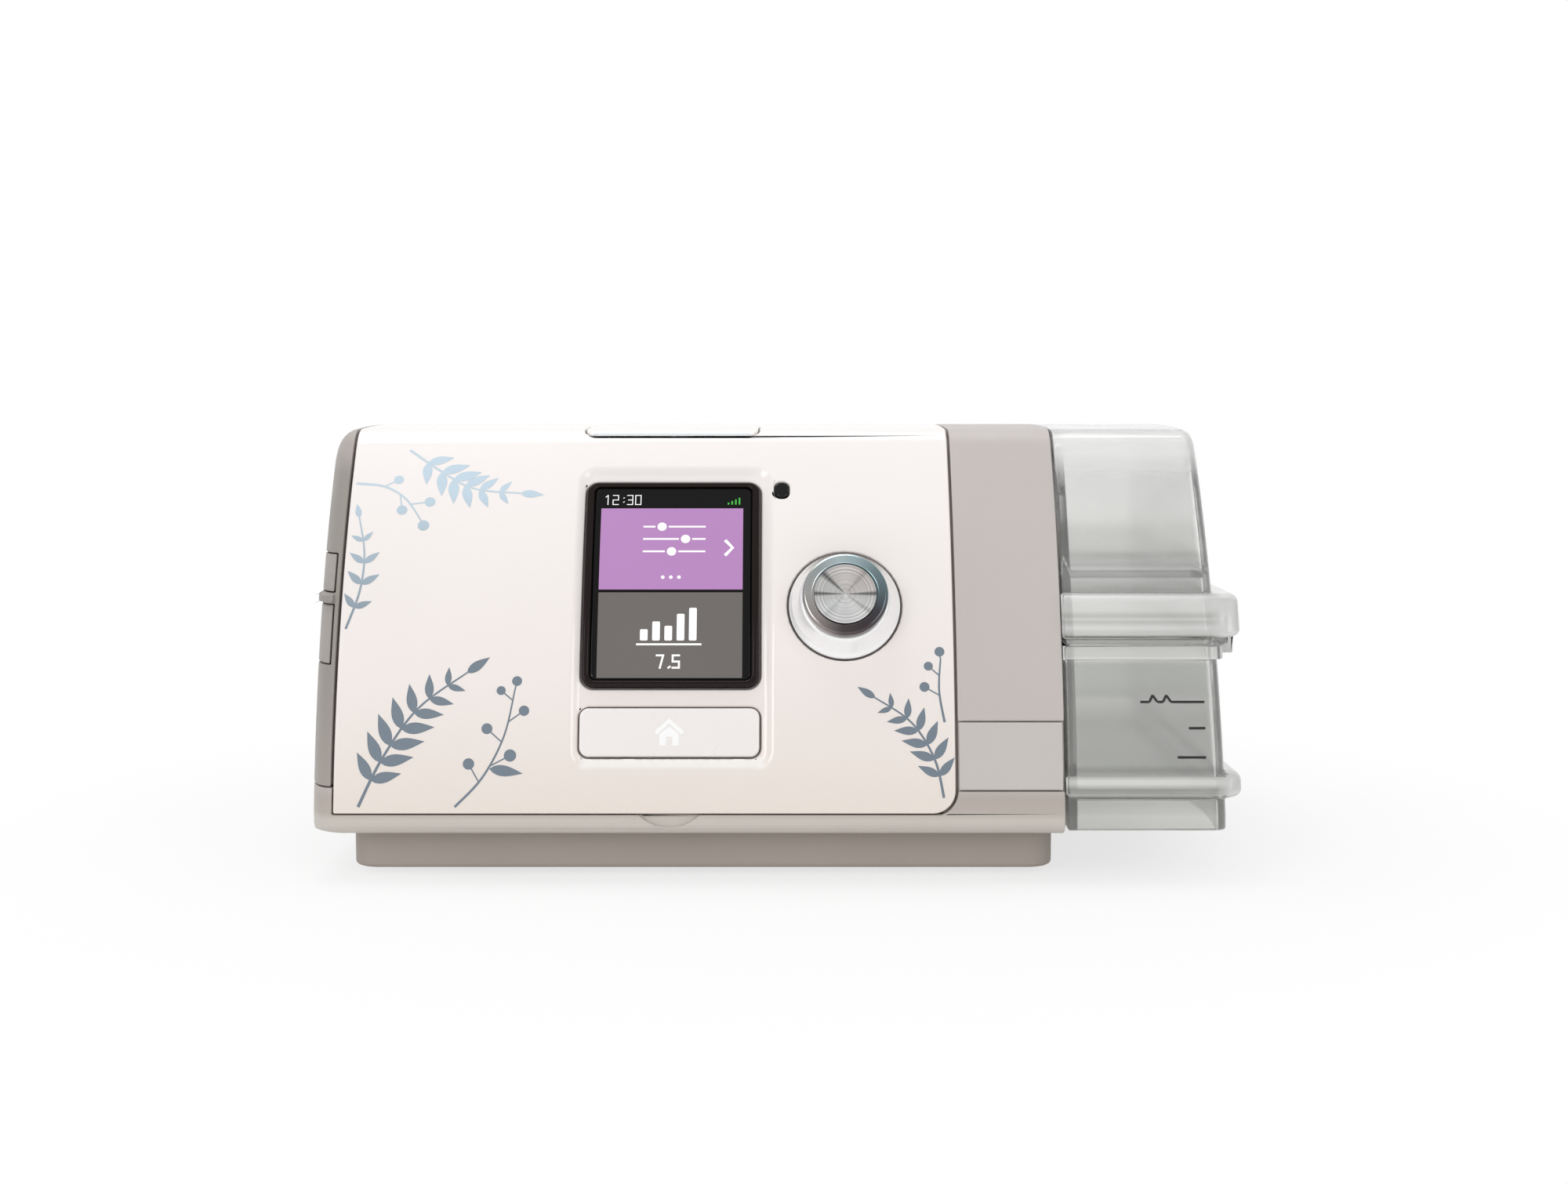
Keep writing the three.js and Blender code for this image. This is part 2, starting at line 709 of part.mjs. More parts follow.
function screwPlaces() {
  const { left, right: far, front, back } = plinth;
  const middle = (front + back) / 2;
  return [[left + screw.inset, front + foot.inset], [far - screw.inset, front + foot.inset],
    [far - screw.inset, back - foot.inset], [left + foot.inset / 2, middle]];
}

function makePlinth() {
  const top = body.bottom - seat;
  const outer = wasm.Manifold.hull([
    alongZ(plinthPoints(plinth.bevel), plinth.low, top), alongZ(
      plinthPoints(0), plinth.low + plinth.bevel, top,
    ),
  ]);
  const pads = cornerPlaces(foot.inset).map(
    ([x, y]) => drum(foot.radius + plinth.wall, plinth.low, top, 16).translate([x, y, 0])
  );
  const posts = screwPlaces().map(
    ([x, y]) => drum(screw.headRadius + plinth.wall, plinth.low, top, 10).translate([x, y, 0])
  );
  const inside = alongZ(plinthPoints(plinth.wall), plinth.low + plinth.wall, top + overrun);
  return cut(
    join(cut(outer, inside), ...pads.concat(posts).map((pad) => common(pad, outer))),
    ...cornerPlaces(foot.inset).map(([x, y]) => footShape(seat).translate([x, y, 0])),
    ...screwPlaces().map(([x, y]) => screwShape(seat).translate([x, y, 0])),
  );
}

function makeScrew() {
  const low = plinth.low + screw.socketDeep - overrun;
  return cut(screwShape(0), drum(screw.socket, low, low + overrun + screw.socketDeep, 6));
}

// Screen: bevelled black frame, glass and the display behind it.
function insideScreen(side, end) {
  return { x: screen.x, rise: screen.rise, wide: screen.wide - 2 * side, tall: screen.tall - 2 * end };
}

const glass = insideScreen(screen.frameSide, screen.frameEnd);

function makeBezel() {
  const frame = panelPatch(screen, screen.corner, -screen.sunk, screen.proud);
  return cut(
    frame, panelPatch(glass, screen.glassCorner, -screen.sunk - overrun, screen.proud + overrun, seat),
  );
}

function makeGlass() {
  return panelPatch(glass, screen.glassCorner, screen.glassLow, screen.glassTop);
}

function makeDisplay() {
  const { moduleSide, moduleEnd, glassCorner, moduleLow, moduleTop } = screen;
  const { wide, tall } = insideScreen(moduleSide, moduleEnd);
  return onPanel(plateShape(wide, tall, glassCorner, moduleLow, moduleTop), screen.x, screen.rise);
}

function makeHomeButton() {
  const cap = panelPatch(home, home.corner, -home.sunk, home.proud);
  const stem = plateShape(
    home.stemWide, home.stemTall, home.stemTall / 4, -home.sunk - home.stemLong, -home.sunk / 2,
  );
  return join(cap, onPanel(stem, home.x, home.rise));
}

function makeHomeSwitch() {
  const top = -home.sunk - home.stemLong - home.travel - seat / 2;
  return onPanel(
    plateShape(home.switchWide, home.switchTall, home.stemTall / 4, home.switchLow, top), home.x, home.rise,
  );
}

function makeSensor() {
  return onPanel(
    plateShape(sensor.wide, sensor.tall, sensor.corner, -fascia.thick, sensor.proud), sensor.x, sensor.rise,
  );
}

function makeStartButton() {
  const low = crownLevel - power.sunk;
  const cap = common(
    topHole(0, low),
    profileSlab(0, body.back, body.bottom, body.flankStart, body.right),
  );
  const { stemWide, stemTall } = power;
  return join(
    cap,
    plateShape(
      stemWide, stemWide, stemTall, low - stemTall, low + stemTall,
    ).translate([power.x, power.y, 0]),
  );
}

function makeStartSwitch() {
  const top = crownLevel - power.sunk - power.stemTall - power.travel - seat / 2;
  const low = top - power.switchTall;
  const deep = power.deep - seat;
  const plateLow = plateShape(power.boardWide, deep, seat, low - power.boardThick, low);
  return join(
    plateLow, plateShape(power.stemWide, power.stemWide, seat, low - seat, top),
  ).translate([power.x, power.y, 0]);
}

// Dial: bright cone, dark ring and brushed disc on an encoder shaft.
function makeDialKnob() {
  const {
    baseRadius, topRadius, sunk, high, ringTall, edge, hollow, shaftRadius, discRadius, discThick,
  } = dial;
  const waist = high - ringTall;
  const profilePoints = [
    [shaftRadius + seat, -sunk], [baseRadius - hollow, -sunk], [baseRadius, -sunk + edge / 2],
    [baseRadius, edge],
    [baseRadius - edge, edge * 2], [topRadius + edge, waist - edge], [topRadius, waist],
    [topRadius, high - edge],
    [topRadius - edge / 3, high - edge / 3], [topRadius - edge, high], [discRadius + seat, high],
    [discRadius + seat, high - discThick - seat], [shaftRadius / 2, high - discThick - seat],
    [shaftRadius / 2, waist], [shaftRadius + seat, waist], [shaftRadius + seat, -sunk],
  ];
  return onPanel(turned(profilePoints, 28), dial.x, dial.rise);
}

function makeDialDisc() {
  const dish = dial.discThick / 3;
  const points = [
    [0, dial.high - dial.discThick], [dial.discRadius, dial.high - dial.discThick],
    [dial.discRadius, dial.high], [dial.discRadius / 2, dial.high - dish / 2], [0, dial.high - dish],
  ];
  return onPanel(turned(points, 30), dial.x, dial.rise);
}

function makeEncoderShaft() {
  const top = dial.high - dial.ringTall - seat;
  return onPanel(drum(dial.shaftRadius, dial.shaftLow, top, 20), dial.x, dial.rise);
}

function makeEncoderBody() {
  const { bodyWide, bodyTop } = dial;
  const bodyLow = boardTop + seat;
  const shape = plateShape(bodyWide, bodyWide, seat, bodyLow, bodyTop);
  return onPanel(
    cut(shape, drum(dial.shaftRadius + running, bodyLow - overrun, bodyTop + overrun, 20)), dial.x,
    dial.rise,
  );
}

// Main board behind the display, with a radio module on its back.
const boardUp = (board.low + board.high) / 2;

// The flat board clears the curved wall where its two ends come nearest.
function boardHeight() {
  const inner = body.panelRadius - fascia.thick - seat - wall;
  const half = (board.high - board.low) / 2;
  return Math.sqrt(inner * inner - half * half) - body.panelRadius - board.clear;
}

const boardTop = boardHeight();

function makeMainBoard() {
  const wide = board.right - board.left;
  const x = (board.left + board.right) / 2;
  const shape = plateShape(wide, board.high - board.low, running, boardTop - board.thick, boardTop);
  const bore = onPanel(
    drum(dial.shaftRadius * 2, boardTop - overrun * 4, boardTop + overrun * 4, 20), dial.x, dial.rise,
  );
  return cut(onPanel(shape, x, boardUp), bore, bayShape(seat));
}

function makeRadio() {
  const top = boardTop - board.thick - seat;
  const shape = plateShape(board.radioWide, board.radioTall, running, top - board.radioThick, top);
  return onPanel(shape, board.left + board.radioWide, boardUp);
}

// Covers on the flank, the card behind the upper one and the socket behind the lower one.
function makeCardCover() {
  return flankSkin(cardSkin);
}

function makeCard() {
  const left = body.cavityLeft - card.out;
  const half = card.thick / 2;
  const points = [[left, cardBack], [left, cardBack - card.wide], [
    left + card.long, cardBack - card.wide,
  ],
    [left + card.long, cardBack - card.thick], [left + card.long - card.thick, cardBack]];
  return alongZ(points, cardMiddle - half, cardMiddle + half);
}

function makeCardSocket() {
  const { wall: skin, shelfDeep, lengthShare } = cardSocket;
  const left = body.cavityLeft + seat;
  const far = left + card.long * lengthShare + card.push + shelfDeep;
  const half = card.thick / 2 + seat + skin;
  const outer = block(
    left, far, cardBack - card.wide - seat - skin, cardBack + seat + skin, cardMiddle - half,
    cardMiddle + half,
  );
  const longer = body.cavityLeft - card.out + card.long + card.push + seat;
  return join(
    cut(outer, cardSlot(seat, left - overrun, longer)),
    cut(block(
      far - overrun, longer + skin, cardBack - card.wide, cardBack, cardMiddle - half, cardMiddle + half,
    ),
      cardSlot(seat, left - overrun, longer)),
  );
}

function makeAdapterCover() {
  return flankSkin(adapterCover);
}

function makeAdapterSocket() {
  const left = body.cavityLeft - adapter.out;
  const shape = block(left, left + adapter.deep, adapter.front, adapter.back, adapter.low, adapter.high);
  const rim = adapter.rim;
  const socket = block(
    left - overrun, left + adapter.socketDeep, adapter.front + rim, adapter.back - rim, adapter.low + rim,
    adapter.high - rim,
  );
  return cut(shape, socket);
}

function makeFilterCover() {
  const skin = flankSkin(filterCover);
  const { front, back, low, high, slots, slotTall, rim } = filterCover;
  const pitch = (high - low - rim * 2) / slots;
  const cuts = Array.from({ length: slots }, (_, i) => {
    const z = low + rim + pitch * (i + filterCover.middleShare) - slotTall / 2;
    return block(farLeft, body.flankStart, front + rim, back - rim, z, z + slotTall);
  });
  return cut(skin, ...cuts);
}

function makeFilter() {
  const left = body.cavityLeft - filter.out;
  const rim = filterCover.rim + seat;
  const { front, back, low, high } = filterCover;
  return block(left, left + filter.thick, front + rim, back - rim, low + rim, high - rim);
}

function makeIntakeFoam() {
  const left = body.cavityLeft + filter.thick - filter.out + seat;
  const margin = filter.foamMargin;
  const { front, back, low, high } = filterCover;
  const y0 = front - margin;
  const y1 = back + margin;
  return block(left, left + filter.foamThick, y0, y1, low - margin, high + margin);
}

// Blower scroll: the wall's distance from the shaft grows evenly round to the outlet.
function scrollPoints(grow) {
  const { throat, reach, x, y, outletX } = blower;
  const steps = 24;
  const points = Array.from({ length: steps + 1 }, (_, i) => {
    const share = i / steps;
    const turn = radians(-90 + 360 * share);
    const radius = throat + (reach - throat) * share + grow;
    return [x + radius * Math.cos(turn), y + radius * Math.sin(turn)];
  });
  const end = outletX;
  const lip = [[end, y - reach - grow], [end, y - throat + grow], [x + throat / 2, y - throat + grow]];
  return [...points.slice(1), ...lip];
}

function makeBlowerLower() {
  const { floor, split, x, y, wall: skin } = blower;
  const shell = alongZ(scrollPoints(skin), floor, split);
  const room = alongZ(scrollPoints(0), split - skin, split + overrun);
  const cup = drum(motor.radius + seat, floor + skin, split, 32).translate([x, y, 0]);
  const mouth = block(
    blower.outletX - skin, blower.outletX + overrun, y - blower.reach, y - blower.throat, split - skin,
    split,
  );
  return cut(shell, room, cup, mouth);
}

function makeBlowerUpper() {
  const { split, top, x, y, wall: skin, reach, throat } = blower;
  const shell = alongZ(scrollPoints(skin), split + seat, top);
  const room = alongZ(scrollPoints(0), split - overrun, top - skin);
  const eye = drum(blower.inletRadius, split, top + overrun, 32).translate([x, y, 0]);
  const end = blower.outletX;
  const mouth = block(end - overrun, end + overrun * 2, y - reach, y - throat, split - overrun, top - skin);
  return cut(shell, room, eye, mouth);
}

function makeBlowerMount() {
  const { mountRadius, mountWall, mountLow, floor, x, y } = blower;
  return ring(mountRadius, mountRadius - mountWall, mountLow, floor - seat, 28).translate([x, y, 0]);
}

function makeMotor() {
  const low = blower.floor + blower.wall + seat;
  return ring(motor.radius, motor.bore, low, motor.top, 28).translate([blower.x, blower.y, 0]);
}

function bladePoints(index) {
  const { rootRadius, radius, sweep: lag, blades, bladeThick } = impeller;
  const steps = 3;
  const line = (side) => Array.from({ length: steps + 1 }, (_, i) => {
    const share = i / steps;
    const out = rootRadius + (radius - rootRadius) * share;
    const turn = radians((360 * index) / blades - lag * share) + (side * bladeThick) / 2 / out;
    return [out * Math.cos(turn), out * Math.sin(turn)];
  });
  return [...line(-1), ...line(1).reverse()];
}

function makeImpeller() {
  const { radius, low, discThick, bladeTall, hubRadius, hubTall, blades, rootRadius } = impeller;
  const bore = impeller.shaftRadius + seat;
  const disc = turned([
    [bore, low], [radius, low], [radius, low + discThick], [rootRadius, low + discThick],
    [hubRadius, low + discThick * 2], [hubRadius - seat, low + hubTall], [bore, low + hubTall], [bore, low],
  ], 24);
  const fins = Array.from({ length: blades }, (_, i) => {
    return alongZ(bladePoints(i), low + discThick / 2, low + discThick + bladeTall);
  });
  return join(disc, ...fins).translate([blower.x, blower.y, 0]);
}

function makeMotorShaft() {
  const { shaftRadius, shaftLow, low, hubTall } = impeller;
  return drum(shaftRadius, shaftLow, low + hubTall - seat, 16).translate([blower.x, blower.y, 0]);
}

// Duct from the blower up and over the bay to the tub, and elbow from the tub to the rear outlet.
const ductHeight = (blower.split + blower.top) / 2;

function makeDuct() {
  const { radius, bore, riseX, bend } = duct;
  const [y, z] = [port.inY, portLevel];
  const end = body.right - wall - seat;
  const start = blower.outletX + blower.wall + seat;
  const path = [
    [start, y, ductHeight], [start + bend / 4, y, ductHeight], [riseX - bend / 3, y, ductHeight + bend / 4],
    [riseX, y, ductHeight + bend],
    [riseX, y, z - bend], [riseX + bend / 3, y, z - bend / 4], [riseX + bend, y, z], [end, y, z],
  ];
  return pipe(path, radius, bore, 13, 12);
}

function makeElbow() {
  const { radius, bore, bend } = elbow;
  const end = body.right - wall - seat;
  const start = bay.back - outlet.flangeThick - seat / 2;
  const path = [
    [end, port.outY, portLevel], [outlet.x + bend, port.outY, portLevel], [
      outlet.x + bend / 4, port.outY + bend / 4, portLevel,
    ],
    [outlet.x, port.outY + bend, outletLevel], [
      outlet.x, start - bend / 6, outletLevel,
    ], [outlet.x, start, outletLevel],
  ];
  return pipe(path, radius, bore, 10, 12);
}

function makeOutlet() {
  const { x, long, rootRadius, tipRadius, bore, flangeRadius, flangeThick } = outlet;
  const low = bay.back - flangeThick + seat;
  const tip = low + flangeThick + long;
  const points = [
    [bore, low], [flangeRadius, low], [flangeRadius, low + flangeThick], [rootRadius, low + flangeThick],
    [tipRadius, tip - bore / 16], [tipRadius - bore / 16, tip], [bore, tip], [bore, low],
  ];
  return turnedTo(turned(points, 32), "y", x, 0, outletLevel);
}

function makePortSeal(y) {
  const shape = ring(port.radius, port.bore, -wall, port.lip, 24);
  return turnedTo(shape, "x", body.right, y, portLevel);
}

function makeFlowSensor() {
  const top = portLevel - duct.radius - seat;
  const { wide, deep, tall, x } = flow;
  return block(x - wide / 2, x + wide / 2, port.inY - deep / 2, port.inY + deep / 2, top - tall, top);
}

// Power inlet and the clip that swings over the plug.
function makeInlet() {
  const { x, z, wide, tall, deep, socketRadius, socketDeep, pinRadius } = inlet;
  const shape = block(x - wide / 2, x + wide / 2, body.back - deep, body.back, z - tall / 2, z + tall / 2);
  const socket = ring(socketRadius, pinRadius, -socketDeep, overrun, 24);
  return cut(shape, turnedTo(socket, "y", x, body.back, z));
}

const clipTop = inlet.z + clip.hingeUp + clip.barThick / 2;
const clipFront = body.back + seat;

function makeClip() {
  const { wide, tall, thick, window: open, barThick } = clip;
  const low = clipTop - tall;
  const frame = block(inlet.x - wide / 2, inlet.x + wide / 2, clipFront, clipFront + thick, low, clipTop);
  const gap = block(
    inlet.x - open / 2, inlet.x + open / 2, clipFront - overrun, clipFront + thick + overrun,
    low - overrun, clipTop - barThick,
  );
  return join(cut(frame, gap), clipPins(0, clip.pinLong));
}

function clipPins(grow, long) {
  const half = clip.wide / 2 + long;
  const pin = drum(clip.pinRadius + grow, -half, half, 12);
  return turnedTo(pin, "x", inlet.x, clipFront + clip.thick / 2, clipTop - clip.pinDrop);
}

function clipLugs() {
  return [-1, 1].map((side) => {
    const near = inlet.x + side * (clip.wide / 2 + seat);
    const far = near + side * lug.thick;
    const z = clipTop - clip.pinDrop;
    const back = clipFront + clip.thick;
    return block(
      Math.min(near, far), Math.max(near, far), body.back - wall, back, z - lug.half, z + lug.half,
    );
  });
}

// Liner of the bay, with the heater plate let into its floor.
function makeBayLiner() {
  const { left, front, back, floor, floorTop, wall: skin } = bay;
  const end = body.right;
  const shell = block(left, end, front, back, floor, bayCeiling);
  const room = block(left + skin, end + overrun, front + skin, back - skin, floorTop, bayCeiling - skin);
  return cut(shell, room, heaterShape(seat, floor - overrun, floorTop + overrun));
}

function heaterShape(grow, low, high) {
  const { left, right: far, front, back, corner } = heater;
  return alongZ(
    roundedPoints(left - grow, far + grow, front - grow, back + grow, evenCorners(corner)), low, high,
  );
}

function makeHeater() {
  return heaterShape(0, body.bottom + wall + seat, bay.floorTop);
}

// Water tub: its outer part follows the body's profile and its inner part fills the bay.
const tubDraft = tub.lean / (crownLevel - tub.low);

function tubBlock(inset, side, round, back, left, low, high, draft = tubDraft) {
  const section = (x, amount, lean) => profile(amount, back, tub.low).map(([y, z]) => {
    return new THREE.Vector3(x - lean * (z - tub.low), y, z);
  });
  const turns = [0, 45, 90];
  const sections = turns.map((turn) => {
    const eased = inset + round * (1 - Math.cos(radians(turn)));
    return section(side - round * (1 - Math.sin(radians(turn))), eased, draft);
  });
  const whole = loft([section(left, inset, 0), ...sections].map((s) => s.reverse()));
  return common(
    whole, block(left, side + overrun, body.front - overrun * 2, body.back + overrun, low, high),
  );
}

function tubRoom(inset, low, high) {
  return tubBlock(inset, tub.foot - inset, tub.topRound - inset, tub.back, tub.left + inset, low, high);
}

function tubInner(inset, low, high, far = tub.left + overrun) {
  const { innerLeft, innerFront, innerBack, innerCorner } = tub;
  const corners = [innerCorner - inset, seat, seat, innerCorner - inset];
  return alongZ(
    roundedPoints(innerLeft + inset, far, innerFront + inset, innerBack - inset, corners), low, high,
  );
}

function tubBand(out, side, low, high) {
  return tubBlock(-out, side, tub.topRound, tub.back + out, tub.left, low, high, 0);
}

const gasketTop = tub.split - seat;
const rimTop = gasketTop - tub.gasket - seat;
const hingeAt = [tub.innerLeft - hinge.knuckle, tub.split - seat];

// Knuckles of the lid's hinge stand off the inner end of the tub.
function knuckles(starts, low, high) {
  const { pinRadius, knuckle, long } = hingeKnuckle();
  const [x, z] = hingeAt;
  return starts.map((y) => {
    const barrel = turnedTo(drum(knuckle, 0, long, 16), "y", x, y, z);
    const root = block(tub.innerLeft, tub.innerLeft + seat, y, y + long, low, high);
    const bore = turnedTo(drum(pinRadius + seat / 2, -overrun, long + overrun, 16), "y", x, y, z);
    return cut(wasm.Manifold.hull([barrel, root]), bore);
  });
}

function hingeKnuckle() {
  return { pinRadius: hinge.pinRadius, knuckle: hinge.knuckle - seat, long: hinge.knuckle * 3 };
}

function hingePlaces() {
  const { long } = hingeKnuckle();
  const near = tub.innerFront + tub.innerCorner * 2;
  const far = tub.innerBack - tub.innerCorner * 2;
  return { base: [near, far - long], lid: [near + long + seat, far - long * 2 - seat], long };
}

function makeTubBase() {
  const places = hingePlaces();
  const outer = join(
    tubBlock(0, tub.foot, tub.topRound, tub.back, tub.left, tub.low, rimTop),
    tubBand(tub.beadOut, tub.foot + tub.beadReach, tub.beadLow, tub.beadTop),
    tubBand(tub.rimOut, tub.foot + tub.rimReach, tub.rimLow, rimTop),
    tubInner(0, tub.innerLow, rimTop),
    ...knuckles(places.base, tub.rimLow - hinge.knuckle, rimTop - seat),
  );
  const room = join(
    tubRoom(tub.wall, tub.low + tub.wall, rimTop + overrun),
    tubInner(tub.wall, tub.innerLow + tub.wall, rimTop + overrun, tub.left + tub.wall + overrun),
  );
  const pocket = plateOutline(seat, tub.innerLow - overrun, tub.innerLow + tubPlate.thick + seat);
  const window = plateOutline(-tubPlate.lap, tub.innerLow, tub.innerLow + tub.wall + overrun);
  return cut(outer, room, pocket, window);
}

function plateOutline(grow, low, high) {
  return heaterShape(grow - tubPlate.margin, low, high);
}

function makeTubPlate() {
  return plateOutline(0, tub.innerLow, tub.innerLow + tubPlate.thick);
}

function makeTubSeal() {
  const low = gasketTop - tub.gasket;
  const inset = tub.gasketIn;
  const outer = join(tubRoom(inset, low, gasketTop), tubInner(inset, low, gasketTop));
  const room = join(
    tubRoom(tub.wall, low - overrun, gasketTop + overrun),
    tubInner(tub.wall, low - overrun, gasketTop + overrun, tub.left + tub.wall + overrun),
  );
  return cut(outer, room);
}

function latchHook() {
  const side = tub.foot + tub.bandReach;
  const { front, wide, low, thick, hook } = latch;
  const arm = block(side - thick, side - seat, front, front + wide, low, tub.split + thick);
  return join(arm, block(side - thick - hook, side - thick + seat, front, front + wide, low, low + thick));
}

function makeTubLid() {
  const places = hingePlaces();
  const top = body.panelRadius;
  const outer = join(
    tubBlock(0, tub.foot, tub.topRound, tub.back, tub.left, tub.split, top),
    tubBand(tub.bandFront, tub.foot + tub.bandReach, tub.split, tub.bandTop),
    tubInner(0, tub.split, tub.innerTop),
    latchHook(),
    ...knuckles(places.lid, tub.split + seat, tub.innerTop - seat),
  );
  const room = join(
    tubRoom(tub.wall, tub.split - overrun, top),
    tubInner(tub.wall, tub.split - overrun, tub.innerTop - tub.wall, tub.left + tub.wall + overrun),
  );
  const ports = [port.inY, port.outY].map((y) => {
    return turnedTo(drum(port.bore, -overrun, tub.wall + overrun, 24), "x", tub.left, y, portLevel);
  });
  return join(cut(outer, room, ...ports), makeShelf());
}

// Shelf across the front of the lid, which keeps splashes out of the air path.
function makeShelf() {
  const { low, thick, back } = lidShelf;
  const reach = block(tub.left, tub.foot, body.front - overrun, back, low, low + thick);
  return common(tubBlock(0, tub.foot, tub.topRound, tub.back, tub.left, low, low + thick), reach);
}

function makeHingePin(index) {
  const { base, lid, long } = hingePlaces();
  const from = Math.min(base[index], lid[index]);
  const to = Math.max(base[index], lid[index]) + long;
  return turnedTo(drum(hinge.pinRadius, from, to, 14), "y", hingeAt[0], 0, hingeAt[1]);
}

// Finishes, from the photograph.
function finish(color, roughness, metalness, rest = {}) {
  return new THREE.MeshStandardMaterial({ color, roughness, metalness, ...rest });
}

const whiteGloss = finish(0xf1edeb, 0.25, 0);
const flankGrey = finish(0xa39d98, 0.5, 0);
const stripGrey = finish(0xbcb5b0, 0.45, 0);
const trayGrey = finish(0xbab3ae, 0.45, 0);
const plinthGrey = finish(0x968e86, 0.6, 0);
const rubber = finish(0x3a3836, 0.9, 0);
const blackGloss = finish(0x14110f, 0.12, 0);
const glassBlack = finish(0x201c1e, 0.05, 0, { transparent: true, opacity: 0.35 });
const displayPurple = finish(0xbc8cc7, 0.4, 0);
const polished = finish(0xc4c8cb, 0.15, 1);
const brushed = finish(0xb9bcbe, 0.35, 1);
const steel = finish(0x9a9a98, 0.35, 1);
const brass = finish(0xb08d4f, 0.4, 1);
const clearPlastic = finish(0xdde3df, 0.08, 0, { transparent: true, opacity: 0.35 });
const softSeal = finish(0xcfd2d0, 0.7, 0);
const boardGreen = finish(0x1f5c3b, 0.6, 0);
const innerBlack = finish(0x2a2a2c, 0.55, 0);
const innerWhite = finish(0xd9d7d2, 0.55, 0);
const foam = finish(0x5b5f66, 0.95, 0);
const filterWhite = finish(0xe6e9ea, 0.9, 0);
const cardBlue = finish(0x2c4f86, 0.5, 0);
const aluminium = finish(0xb7bbbd, 0.3, 1);

// Outer case.
addPiece("rear_housing", makeRearHousing(), stripGrey);
addPiece("bottom_housing", makeBottomHousing(), trayGrey);
addPiece("plinth", makePlinth(), plinthGrey);
addPiece("front_fascia", makeFascia(), whiteGloss);
addPiece("label_plate", makeLabelPlate(), stripGrey);
cornerPlaces(foot.inset).forEach(
  ([x, y], i) => addPiece(`foot_${i + 1}`, footShape(0).translate([x, y, 0]), rubber)
);
screwPlaces().forEach(
  ([x, y], i) => addPiece(`case_screw_${i + 1}`, makeScrew().translate([x, y, 0]), steel)
);

// Controls and electronics.
addPiece("screen_bezel", makeBezel(), blackGloss);
addPiece("screen_glass", makeGlass(), glassBlack);
addPiece("display_module", makeDisplay(), displayPurple);
addPiece("home_button", makeHomeButton(), whiteGloss);
addPiece("home_switch", makeHomeSwitch(), innerBlack);
addPiece("light_sensor", makeSensor(), blackGloss);
addPiece("start_button", makeStartButton(), whiteGloss);
addPiece("start_switch", makeStartSwitch(), boardGreen);
addPiece("dial_knob", makeDialKnob(), polished);
addPiece("dial_disc", makeDialDisc(), brushed);
addPiece("encoder_shaft", makeEncoderShaft(), steel);
addPiece("encoder_body", makeEncoderBody(), innerBlack);
addPiece("main_board", makeMainBoard(), boardGreen);
addPiece("radio_module", makeRadio(), steel);

// Left flank.
addPiece("card_cover", makeCardCover(), flankGrey);
addPiece("memory_card", makeCard(), cardBlue);
addPiece("card_socket", makeCardSocket(), innerBlack);
addPiece("adapter_cover", makeAdapterCover(), flankGrey);
addPiece("adapter_socket", makeAdapterSocket(), innerBlack);
addPiece("filter_cover", makeFilterCover(), flankGrey);
addPiece("air_filter", makeFilter(), filterWhite);
addPiece("intake_foam", makeIntakeFoam(), foam);

// Blower and air path.
addPiece("blower_mount", makeBlowerMount(), softSeal);
addPiece("blower_lower", makeBlowerLower(), innerWhite);
addPiece("blower_upper", makeBlowerUpper(), innerWhite);
addPiece("motor", makeMotor(), steel);
addPiece("motor_shaft", makeMotorShaft(), steel);
addPiece("impeller", makeImpeller(), innerBlack);
addPiece("blower_duct", makeDuct(), innerWhite);
addPiece("flow_sensor", makeFlowSensor(), innerBlack);
addPiece("port_seal_in", makePortSeal(port.inY), softSeal);
addPiece("port_seal_out", makePortSeal(port.outY), softSeal);
addPiece("outlet_elbow", makeElbow(), innerWhite);
addPiece("air_outlet", makeOutlet(), stripGrey);
addPiece("power_inlet", makeInlet(), innerBlack);
addPiece("power_clip", makeClip(), stripGrey);

// Bay and water tub.
addPiece("bay_liner", makeBayLiner(), innerWhite);
addPiece("heater_plate", makeHeater(), aluminium);
addPiece("tub_base", makeTubBase(), clearPlastic);
addPiece("tub_plate", makeTubPlate(), aluminium);
addPiece("tub_seal", makeTubSeal(), softSeal);
addPiece("tub_lid", makeTubLid(), clearPlastic);
addPiece("hinge_pin_front", makeHingePin(0), steel);
addPiece("hinge_pin_back", makeHingePin(1), steel);

export default group;
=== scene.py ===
import math
from contextlib import contextmanager

import bmesh
import bpy
from mathutils import Matrix, Vector
from mathutils import geometry as plane


